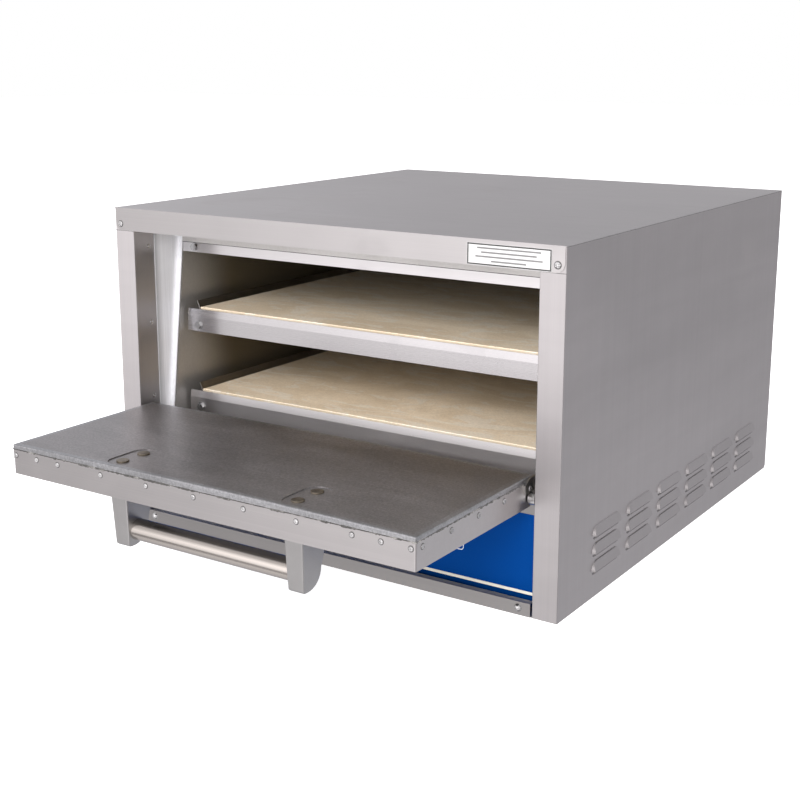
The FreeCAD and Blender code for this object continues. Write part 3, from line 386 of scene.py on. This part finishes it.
def plated(name, dark, light, roughness):
    """Bright plated or turned fastener metal with fine tool marks and a little dirt."""
    material, graph, shader, place = start_material(name, metallic=1.0)
    marks = graph.noise(place, 900.0, 3.0, 0.7)
    dirt = graph.noise(place, 140.0, 4.0, 0.6)
    clean = graph.remap(dirt, 0.35, 0.6, 0.0, 1.0)
    graph.plug(shader.inputs["Base Color"], graph.mix(clean, rgb(*dark), rgb(*light)))
    rough = graph.remap(marks, 0.3, 0.7, roughness, roughness + 0.12)
    graph.plug(shader.inputs["Roughness"], rough)
    graph.plug(shader.inputs["Normal"], graph.bump(marks, 0.06, 0.05 * MM))
    return material


def cast_metal():
    """Satin die casting with a fine orange-peel skin."""
    material, graph, shader, place = start_material("cast_metal", metallic=1.0)
    peel = graph.noise(place, 520.0, 3.0, 0.6)
    cloud = graph.noise(place, 30.0, 3.0, 0.6)
    tone = graph.mix(cloud, rgb(0.50, 0.495, 0.49), rgb(0.60, 0.595, 0.59))
    graph.plug(shader.inputs["Base Color"], tone)
    graph.plug(shader.inputs["Roughness"], graph.remap(peel, 0.3, 0.7, 0.38, 0.50))
    graph.plug(shader.inputs["Normal"], graph.bump(peel, 0.18, 0.12 * MM))
    return material


def deck_stone():
    """Cream fired slab: faint swirled veils and fine grit, with painted shade in front and deep in
    the oven.
    """
    material, graph, shader, place = start_material("deck_stone", specular_ior_level=0.25)
    swirl = graph.noise(graph.scaled(place, (5.0, 9.0, 5.0)), 1.0, 6.0, 0.62, 1.6)
    veil = graph.noise(graph.scaled(place, (11.0, 26.0, 11.0)), 1.0, 7.0, 0.62, 1.8)
    grit = graph.noise(place, 420.0, 4.0, 0.8)
    cream = graph.mix(graph.remap(swirl, 0.32, 0.68, 0.0, 1.0, True), rgb(0.79, 0.66, 0.485),
                      rgb(0.92, 0.80, 0.625))
    pale = graph.remap(veil, 0.535, 0.56, 0.0, 0.55, True)
    cream = graph.mix(pale, cream, rgb(0.90, 0.84, 0.73))
    depth = graph.add("SeparateXYZ", {0: place}).outputs["Y"]
    front_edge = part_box("upper_stone")[0].y
    # Grit, and painted shade on the front faces and deeper in the oven.
    tone = graph.product([
        graph.remap(grit, 0.3, 0.7, 0.86, 1.14),
        facing(graph, (0.0, -1.0, 0.0), 0.58),
        graph.remap(depth, front_edge + 20 * MM, front_edge + 220 * MM, 1.0, 0.70, True),
    ])
    graph.plug(shader.inputs["Base Color"], graph.mix(1.0, cream, tone, "MULTIPLY"))
    graph.plug(shader.inputs["Roughness"], graph.remap(veil, 0.3, 0.7, 0.72, 0.92))
    graph.plug(shader.inputs["Normal"], graph.bump(grit, 0.25, 0.12 * MM))
    return material


def oxidised_sheath():
    """Heating element sheath, dark and unevenly heated, with paler flakes."""
    material, graph, shader, place = start_material("oxidised_sheath", metallic=0.7)
    scale = graph.noise(place, 320.0, 4.0, 0.7)
    heat = graph.noise(place, 9.0, 3.0, 0.5)
    dark = graph.mix(heat, rgb(0.085, 0.075, 0.07), rgb(0.17, 0.145, 0.13))
    flaked = graph.remap(scale, 0.4, 0.7, 0.0, 0.5)
    graph.plug(shader.inputs["Base Color"], graph.mix(flaked, dark, rgb(0.25, 0.23, 0.21)))
    graph.plug(shader.inputs["Roughness"], graph.remap(scale, 0.3, 0.7, 0.45, 0.65))
    graph.plug(shader.inputs["Normal"], graph.bump(scale, 0.2, 0.08 * MM))
    return material


def powder_coat():
    """Saturated blue powder coat with orange peel and a fine sparkle."""
    material, graph, shader, place = start_material("blue_powder_coat", specular_ior_level=0.02)
    peel = graph.noise(place, 420.0, 2.0, 0.5)
    spark = graph.noise(place, 2600.0, 1.0, 0.5)
    cloud = graph.noise(place, 14.0, 3.0, 0.6)
    blue = graph.mix(cloud, rgb(0.0, 0.036, 0.185), rgb(0.0, 0.044, 0.22))
    blue = graph.mix(graph.remap(spark, 0.70, 0.80, 0.0, 0.35), blue, rgb(0.08, 0.16, 0.45))
    graph.plug(shader.inputs["Base Color"], blue)
    graph.plug(shader.inputs["Roughness"], graph.remap(peel, 0.3, 0.7, 0.30, 0.42))
    graph.plug(shader.inputs["Normal"], graph.bump(peel, 0.10, 0.06 * MM))
    return material


def moulded(name, dark, light, roughness):
    """Moulded plastic or paint with a fine texture and slight tone changes."""
    material, graph, shader, place = start_material(name)
    peel = graph.noise(place, 700.0, 2.0, 0.5)
    cloud = graph.noise(place, 35.0, 3.0, 0.6)
    graph.plug(shader.inputs["Base Color"], graph.mix(cloud, rgb(*dark), rgb(*light)))
    rough = graph.remap(peel, 0.3, 0.7, roughness - 0.04, roughness + 0.06)
    graph.plug(shader.inputs["Roughness"], rough)
    graph.plug(shader.inputs["Normal"], graph.bump(peel, 0.08, 0.05 * MM))
    return material


def amber_lens():
    """Translucent amber plastic with fine ribs."""
    material, graph, shader, place = start_material("amber_lens", transmission_weight=0.35,
                                                    roughness=0.15)
    ribs = graph.add("TexWave", {"Vector": place, "Scale": 420.0, "Distortion": 0.0}).outputs["Fac"]
    amber = graph.mix(ribs, rgb(0.78, 0.24, 0.02), rgb(0.95, 0.42, 0.05))
    graph.plug(shader.inputs["Base Color"], amber)
    graph.plug(shader.inputs["Normal"], graph.bump(ribs, 0.2, 0.1 * MM))
    return material


def wool():
    """Mineral wool: matted fibres in layers."""
    material, graph, shader, place = start_material("mineral_wool", roughness=0.95,
                                                    sheen_weight=0.3)
    fibre = graph.noise(graph.scaled(place, (300.0, 300.0, 900.0)), 1.0, 5.0, 0.75, 1.5)
    clump = graph.noise(place, 45.0, 3.0, 0.6)
    base = graph.mix(clump, rgb(0.55, 0.47, 0.31), rgb(0.70, 0.62, 0.44))
    pale = graph.remap(fibre, 0.4, 0.7, 0.0, 0.5)
    graph.plug(shader.inputs["Base Color"], graph.mix(pale, base, rgb(0.83, 0.78, 0.66)))
    graph.plug(shader.inputs["Normal"], graph.bump(fibre, 0.5, 0.5 * MM))
    return material


def seam_tape():
    """Dark woven seam strip with frayed, ashy patches."""
    material, graph, shader, place = start_material("seam_tape", roughness=0.9, sheen_weight=0.2)
    threads = {"Vector": graph.scaled(place, (1.0, 1.0, 3.0)), "Scale": 900.0}
    weave = graph.add("TexWave", threads).outputs["Fac"]
    ash = graph.noise(place, 60.0, 5.0, 0.7)
    dark = graph.mix(weave, rgb(0.022, 0.021, 0.020), rgb(0.06, 0.057, 0.054))
    ashy = graph.remap(ash, 0.52, 0.66, 0.0, 0.7)
    graph.plug(shader.inputs["Base Color"], graph.mix(ashy, dark, rgb(0.26, 0.25, 0.24)))
    graph.plug(shader.inputs["Normal"], graph.bump(weave, 0.3, 0.1 * MM))
    return material


def make_materials():
    """Every material by a short name.

    The numbers of brushed_steel are roughness, anisotropy, streaks and clouds.
    """
    return {
        # Painted light: the front faces of the side panels' posts are brightened by 1.20.
        "side": brushed_steel("casing_side_steel", (0.548, 0.528, 0.531), "Z", 0.44, 0.72, 0.03,
                              0.03, smears=0.04, painted_front_light=1.20),
        "cover": brushed_steel("casing_cover_steel", (0.62, 0.602, 0.60), "X", 0.33, 0.75, 0.03,
                               0.03),
        "base": brushed_steel("casing_base_steel", (0.36, 0.35, 0.345), "X", 0.38, 0.7, 0.05, 0.05),
        # Painted shade on the liner in front of where the right recess liner starts.
        "liner": brushed_steel("liner_steel", (0.80, 0.805, 0.84), "Z", 0.50, 0.5, 0.12, 0.08,
                               metallic=0.35, painted_shade_until=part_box("recess_liner_right")[0].y),
        "rail": brushed_steel("rail_steel", (0.585, 0.572, 0.58), "X", 0.26, 0.75, 0.02, 0.04),
        # A lighter copy of the rail steel: painted light on the header and lower deck rails.
        "painted_light_rail": brushed_steel("pale_rail_steel", (0.78, 0.765, 0.77), "X", 0.30, 0.75, 0.02,
                                   0.04),
        "sill": brushed_steel("sill_steel", (0.36, 0.35, 0.345), "X", 0.36, 0.7, 0.03, 0.04),
        # Painted shade: the door's face that looks down at rest is darkened to 0.3.
        "door": brushed_steel("door_steel", (0.60, 0.58, 0.578), "X", 0.34, 0.72, 0.04, 0.04,
                              painted_under_shade=0.3),
        "arm": brushed_steel("arm_steel", (0.50, 0.49, 0.47), "Y", 0.32, 0.5, 0.06, 0.08),
        "angle": brushed_steel("angle_steel", (0.50, 0.485, 0.46), "Y", 0.38, 0.6, 0.10, 0.10),
        "tube": brushed_steel("tube_steel", (0.66, 0.615, 0.57), "X", 0.22, 0.2, 0.04, 0.04),
        "inside": door_inside_steel(),
        "aluminised": aluminised_sheet(),
        "bright": plated("bright_plating", (0.50, 0.50, 0.50), (0.76, 0.76, 0.76), 0.12),
        "bronze": plated("bronze_plating", (0.20, 0.17, 0.13), (0.34, 0.30, 0.24), 0.30),
        "cast": cast_metal(),
        "stone": deck_stone(),
        "sheath": oxidised_sheath(),
        "blue": powder_coat(),
        "cream": moulded("cream_strip", (0.70, 0.67, 0.58), (0.80, 0.77, 0.68), 0.45),
        "black": moulded("black_plastic", (0.018, 0.018, 0.019), (0.030, 0.030, 0.032), 0.42),
        "gloss_black": moulded("gloss_black_plastic", (0.014, 0.014, 0.015),
                               (0.022, 0.022, 0.024), 0.18),
        "grey": moulded("plated_case", (0.30, 0.30, 0.29), (0.40, 0.40, 0.39), 0.40),
        "amber": amber_lens(),
        "white": moulded("white_plate", (0.47, 0.47, 0.47), (0.50, 0.50, 0.50), 0.5),
        "ink": moulded("dark_print", (0.03, 0.03, 0.03), (0.05, 0.05, 0.05), 0.5),
        "faint_ink": moulded("faint_print", (0.12, 0.12, 0.12), (0.17, 0.17, 0.17), 0.5),
        # Painted shadow for the casing's gaps and round the screw heads.
        "shadow": moulded("joint_shadow", (0.07, 0.068, 0.068), (0.10, 0.098, 0.098), 0.7),
        "white_ink": moulded("white_print", (0.80, 0.82, 0.85), (0.88, 0.90, 0.92), 0.5),
        "wool": wool(),
        "tape": seam_tape(),
    }


NODE_MATERIALS = {
    "side": ["side_panel_left", "side_panel_right"],
    "cover": ["top_cover"],
    "base": ["base_pan", "back_panel", "bottom_front_rail"],
    "liner": ["recess_liner_left", "recess_liner_right"],
    "rail": ["upper_deck_rail"],
    "painted_light_rail": ["header_rail", "lower_deck_rail"],
    "sill": ["front_sill"],
    "door": ["door_outer_pan"],
    "inside": ["door_inner_liner"],
    "arm": ["hinge_arm_left", "hinge_arm_right"],
    "angle": ["upper_side_angles", "lower_side_angles", "deck_rear_angles"],
    "aluminised": ["chamber_wall_left", "chamber_wall_right", "chamber_ceiling",
                   "chamber_rear_wall", "chamber_floor"],
    "tube": ["handle_tube"],
    "cast": ["handle_bracket_left", "handle_bracket_right"],
    "bright": ["front_rail_bolts", "casing_screws", "recess_rivets", "deck_rail_bolts",
               "door_edge_screws", "hinge_pins", "door_stops", "thermostat_bulb"],
    "bronze": ["handle_bolts"],
    "stone": ["upper_stone", "lower_stone"],
    "sheath": ["top_element", "middle_element", "bottom_element"],
    "blue": ["control_panel"],
    "cream": ["panel_lower_trim"],
    "black": ["thermostat_knob", "timer_knob", "switch_housings", "terminal_block", "cord_gland"],
    "gloss_black": ["upper_heat_rocker", "lower_heat_rocker"],
    "amber": ["pilot_lights"],
    "grey": ["thermostat", "timer"],
    "white": ["label_plate"],
    "wool": ["insulation_top", "insulation_sides", "insulation_rear", "insulation_bottom",
             "door_insulation"],
    "tape": ["door_gasket"],
}


def dress_nodes(shelf):
    for kind, names in NODE_MATERIALS.items():
        for name in names:
            mesh = nodes[name].data
            mesh.materials.clear()
            mesh.materials.append(shelf[kind])


# ---------------------------------------------------------------- finer mesh pieces

UP = Vector((0, 0, 1))
PRINT_RISE = 0.05 * MM

# A screw's head: how finely it is made, and the painted shadow ring that shows round it.
HEAD_RINGS = 10
HEAD_TURNS = 40
HEAD_ANGLES = [2 * math.pi * step / HEAD_TURNS for step in range(HEAD_TURNS)]
PAINTED_SHADOW_MARGIN = 0.4 * MM

# Its recess and shank, as shares of the head's radius, with the depth as a share of its height.
RECESS_HALF_WIDTH = 0.15
RECESS_REACH = 0.6
RECESS_DEPTH = 0.5
SHANK_RADIUS = 0.42

# The door's seam, in millimetres: the spacing of its points, its reach into the door, how far it
# stands out, from where it hangs, and the most that it hangs there and elsewhere.
SEAM_STEP = 2.0
SEAM_INWARD = 2.2
SEAM_USUAL, SEAM_LEAST, SEAM_MOST = 0.4, -0.6, 1.1
SEAM_HANGS_FROM = 0.55
SEAM_HANGING, SEAM_FIRM = 1.1, 0.2

# The share of its swelling that carries on to the next point, and the most that is added there.
SEAM_CARRY = 0.82
SEAM_SWELL = 0.5

# A dial: its angles in degrees, ticks and numerals from the knob's rim outwards, and the line
# on the knob from its middle upwards.
DIAL_START, DIAL_SWEEP = 90, 300
TICK_GAPS = (1.5 * MM, 4.0 * MM)
TICK_HALF_WIDTH = 0.35 * MM
NUMERAL_GAP = 7.2 * MM
NUMERAL_SIZE = 5.0 * MM
POINTER_HALF_WIDTH = 0.6 * MM
POINTER_SPAN = (5 * MM, 18 * MM)


class Skin:
    """Points and faces of one mesh piece while it is put together."""

    def __init__(self):
        self.points = []
        self.faces = []

    def add(self, points, faces):
        start = len(self.points)
        self.points += [tuple(point) for point in points]
        self.faces += [tuple(start + corner for corner in face) for face in faces]

    def plate(self, low, high):
        """A flat-sided bar between two opposite corners."""
        spans = list(zip(low, high))
        corners = [(x, y, z) for x in spans[0] for y in spans[1] for z in spans[2]]
        self.add(corners, [(0, 1, 3, 2), (4, 6, 7, 5), (0, 4, 5, 1), (2, 3, 7, 6), (0, 2, 6, 4),
                           (1, 5, 7, 3)])

    def rings(self, rings, closed_ends=True):
        """Quads between successive closed rings of points, with a face over each end."""
        count = len(rings[0])
        faces = [(count * r + i, count * r + (i + 1) % count, count * (r + 1) + (i + 1) % count,
                  count * (r + 1) + i) for r in range(len(rings) - 1) for i in range(count)]
        if closed_ends:
            last = count * (len(rings) - 1)
            faces += [tuple(reversed(range(count))), tuple(range(last, last + count))]
        self.add([point for ring in rings for point in ring], faces)

    def piece(self, name, material, slot, body, smooth=False):
        """The finished mesh object, painted and riding on a body."""
        mesh = bpy.data.meshes.new(name)
        mesh.from_pydata(self.points, [], self.faces)
        mesh.polygons.foreach_set("use_smooth", [smooth] * len(mesh.polygons))
        mesh.materials.append(material)
        made = bpy.data.objects.new(name, mesh)
        bpy.context.scene.collection.objects.link(made)
        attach(made, body)
        return made


def solids_of(name):
    """Lowest and highest corner of each separate solid in a CAD node."""
    shape = bmesh.new()
    shape.from_mesh(nodes[name].data)
    bmesh.ops.remove_doubles(shape, verts=shape.verts, dist=0.001 * MM)
    waiting = dict.fromkeys(shape.verts)
    found = []
    while waiting:
        chain = [waiting.popitem()[0]]
        corners = []
        while chain:
            vertex = chain.pop()
            corners.append(vertex.co.copy())
            for edge in vertex.link_edges:
                other = edge.other_vert(vertex)
                if other in waiting:
                    del waiting[other]
                    chain.append(other)
        found.append((Vector(map(min, zip(*corners))), Vector(map(max, zip(*corners)))))
    shape.free()
    return found


def screw(skin, seat, outward, radius, height, length, turn):
    """Domed head with a cross recess, on a plain shank that goes into the sheet."""
    side = outward.cross(UP)

    def ring(out, rise):
        return [seat + side * (out * math.cos(a + turn)) + UP * (out * math.sin(a + turn))
                + outward * rise(a) for a in HEAD_ANGLES]

    def dome(out):
        def rise(a):
            near, far = sorted((abs(out * math.cos(a)), abs(out * math.sin(a))))
            recessed = near < RECESS_HALF_WIDTH * radius and far < RECESS_REACH * radius
            cut = RECESS_DEPTH if recessed else 0.0
            return height * (math.sqrt(1 - min(1.0, out / radius) ** 2) - cut)
        return rise

    outs = [radius * (step + 1) / HEAD_RINGS for step in range(HEAD_RINGS)]
    rings = [ring(out, dome(out)) for out in outs]
    rings.append(ring(SHANK_RADIUS * radius, lambda a: 0.0))
    rings.append(ring(SHANK_RADIUS * radius, lambda a: -length))
    skin.rings(rings)


def cross_screws(shelf, node, height, slot, body):
    """Screws with cross recesses in place of a node's plain domed ones, each on a painted shadow
    ring.
    """
    skin, painted_shadow_rings = Skin(), Skin()
    turns = random.Random(len(node))
    for low, high in solids_of(node):
        size, middle = high - low, (low + high) / 2
        axis = 1 if size.y > size.x else 0
        outward = Vector((0, 0, 0))
        outward[axis] = math.copysign(1, middle[axis])
        seat = middle + outward * (size[axis] / 2 - height)
        turn = turns.uniform(0, math.pi / 2)
        screw(skin, seat, outward, size.z / 2, height, size[axis] - height, turn)
        side = outward.cross(UP)
        # Painted shadow ring, a little wider than the head, just under it.
        rim = size.z / 2 + PAINTED_SHADOW_MARGIN
        flat = [side * (rim * math.cos(a)) + UP * (rim * math.sin(a)) for a in HEAD_ANGLES]
        painted_shadow_rings.rings([[seat + point + outward * rise for point in flat]
                      for rise in (0.0, PRINT_RISE)])
    crossed = skin.piece(node + "_crossed", shelf["bright"], slot, body, smooth=True)
    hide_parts(node)
    painted_shadow_rings.piece(node + "_stains", shelf["shadow"], slot, body)


def frayed_seam(shelf):
    """Dark strip in the door's seam, squeezed out unevenly and frayed."""
    low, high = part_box("door_gasket")
    middle, reach = (low + high) / 2, (high - low) / 2
    step, inward = SEAM_STEP * MM, SEAM_INWARD * MM
    across, along = round(2 * reach.x / step), round(2 * reach.y / step)
    walk = [(-reach.x + step * i, -reach.y, 0, -1) for i in range(across)]
    walk += [(reach.x, -reach.y + step * i, 1, 0) for i in range(along)]
    walk += [(reach.x - step * i, reach.y, 0, 1) for i in range(across)]
    walk += [(-reach.x, reach.y - step * i, -1, 0) for i in range(along)]
    wear = random.Random(11)
    swell, loops = 0.0, [[], [], [], []]
    for x, y, out_x, out_y in walk:
        swell = SEAM_CARRY * swell + wear.uniform(-SEAM_SWELL, SEAM_SWELL)
        swollen = max(SEAM_LEAST, min(SEAM_MOST, SEAM_USUAL + swell))
        out = swollen * MM
        most = SEAM_HANGING if swollen > SEAM_HANGS_FROM else SEAM_FIRM
        droop = most * wear.uniform(0.3, 1.0) * MM
        lift = wear.uniform(0.1, 0.5) * MM
        corners = [(out, high.z + lift), (out, low.z - droop), (-inward, low.z), (-inward, high.z)]
        for loop, (away, z) in zip(loops, corners):
            loop.append((middle.x + x + out_x * away, middle.y + y + out_y * away, z))
    skin = Skin()
    skin.rings(loops + loops[:1], closed_ends=False)
    seam = skin.piece("frayed_door_seam", shelf["tape"], "seam_gasket", "door")
    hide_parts("door_gasket")


def printed_plate(shelf):
    """Thin dark border and four plain bars on the white plate."""
    low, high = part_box("label_plate")
    skin = Skin()
    inset, line, ink, half_bar = 0.4 * MM, 1.6 * MM, 0.08 * MM, 0.9 * MM
    bar_shares = (0.76, 0.66, 0.80, 0.42)
    left, right, bottom, top = low.x + inset, high.x - inset, low.z + inset, high.z - inset
    for z in (bottom, top - line):
        skin.plate((left, low.y - ink, z), (right, low.y, z + line))
    for x in (left, right - line):
        skin.plate((x, low.y - ink, bottom + line), (x + line, low.y, top - line))
    skin.piece("plate_border", shelf["ink"], "label_white", "cabinet")
    bars = Skin()
    pitch = (top - bottom) / (len(bar_shares) + 1)
    middle = (left + right) / 2
    for row, share in enumerate(bar_shares):
        z = top - pitch * (row + 1)
        half = share * (right - left) / 2
        bars.plate((middle - half, low.y - ink, z - half_bar), (middle + half, low.y, z + half_bar))
    bars.piece("plate_bars", shelf["faint_ink"], "label_white", "cabinet")


def numeral(number):
    """Flat mesh of a number, its middle on the origin."""
    text = bpy.data.curves.new("numeral", "FONT")
    text.body = str(number)
    text.size = NUMERAL_SIZE
    text.align_x, text.align_y = "CENTER", "CENTER"
    return bpy.data.meshes.new_from_object(bpy.data.objects.new("numeral", text))


def dial_marks(shelf, node, highest):
    """Ticks and numbers round a dial on the panel."""
    low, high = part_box(node)
    middle, skirt = (low + high) / 2, (high.x - low.x) / 2
    start = Vector((middle.x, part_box("control_panel")[0].y - PRINT_RISE, middle.z))
    skin = Skin()
    for number in range(highest + 1):
        angle = math.radians(DIAL_START - DIAL_SWEEP * number / highest)
        way = Vector((math.cos(angle), 0, math.sin(angle)))
        side = way.cross(Vector((0, 1, 0)))
        near, far = (start + way * (skirt + gap) for gap in TICK_GAPS)
        half = side * TICK_HALF_WIDTH
        corners = [near - half, far - half, far + half, near + half]
        skin.add(corners, [(0, 1, 2, 3)])
        shape = numeral(number)
        centre = start + way * (skirt + NUMERAL_GAP)
        skin.add([centre + Vector((v.co.x, 0, v.co.y)) for v in shape.vertices],
                 [tuple(polygon.vertices) for polygon in shape.polygons])
    skin.piece(node.replace("knob", "marks"), shelf["white_ink"], "label_white", "cabinet")


def dial_pointer(shelf, node, body):
    """Pointer line on a knob's front, up from near its middle."""
    low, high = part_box(node)
    middle = (low + high) / 2
    near, far = POINTER_SPAN
    skin = Skin()
    skin.plate((middle.x - POINTER_HALF_WIDTH, low.y - PRINT_RISE, middle.z + near),
               (middle.x + POINTER_HALF_WIDTH, low.y + 0.2 * MM, middle.z + far))
    skin.piece(node.replace("knob", "pointer"), shelf["white_ink"], "label_white", body)


def panel_outline(shelf):
    """Plain printed field with rounded corners beside the thermostat's dial."""
    dial_low, dial_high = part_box("thermostat_knob")
    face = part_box("control_panel")[0].y - PRINT_RISE
    left, right = dial_high.x + 12 * MM, dial_high.x + 26 * MM
    bottom, top = dial_low.z + 7 * MM, dial_high.z + 13 * MM
    corner, line, steps = 4 * MM, 0.8 * MM, 8
    loops = [[], []]
    centres = [(right - corner, top - corner), (left + corner, top - corner),
               (left + corner, bottom + corner), (right - corner, bottom + corner)]
    for quarter, (x, z) in enumerate(centres):
        for step in range(steps + 1):
            angle = math.radians(90 * quarter + 90 * step / steps)
            for loop, radius in zip(loops, (corner, corner - line)):
                loop.append((x + radius * math.cos(angle), face, z + radius * math.sin(angle)))
    skin = Skin()
    skin.rings(loops, closed_ends=False)
    skin.piece("panel_outline", shelf["white_ink"], "label_white", "cabinet")


def casing_seams(shelf):
    """Painted shadow lines in the gaps: cover on side panels, fascia's ends on posts, ceiling lip
    on header.
    """
    low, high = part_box("top_cover")
    post_low, post_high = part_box("side_panel_right")
    shadow_inward, shadow_outward = 0.3 * MM, 0.05 * MM
    shadow_below, shadow_above = 0.35 * MM, 0.10 * MM
    skin = Skin()
    for side in (-1, 1):
        edge = side * high.x
        skin.plate((edge - shadow_inward, low.y + 1.2 * MM, post_high.z - shadow_below),
                   (edge + side * shadow_outward, high.y, post_high.z + shadow_above))
        inner = side * post_low.x
        skin.plate((min(edge, inner), low.y + 0.4 * MM, low.z - 0.45 * MM),
                   (max(edge, inner), low.y + 1.0 * MM, low.z))
    lip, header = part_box("chamber_ceiling")[0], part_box("header_rail")[1]
    skin.plate((-header.x, lip.y, lip.z - 0.8 * MM), (header.x, lip.y + 0.6 * MM, lip.z))
    skin.piece("casing_seams", shelf["shadow"], "casing_steel", "cabinet")


def add_details(shelf):
    cross_screws(shelf, "casing_screws", 1.8 * MM, "screw_steel", "cabinet")
    cross_screws(shelf, "door_edge_screws", 1.5 * MM, "screw_steel", "door")
    frayed_seam(shelf)
    printed_plate(shelf)
    dial_marks(shelf, "thermostat_knob", 6)
    dial_pointer(shelf, "thermostat_knob", "thermostat_dial")
    dial_marks(shelf, "timer_knob", 5)
    dial_pointer(shelf, "timer_knob", "timer_dial")
    panel_outline(shelf)
    casing_seams(shelf)


make_studio()
materials = make_materials()
dress_nodes(materials)
add_details(materials)
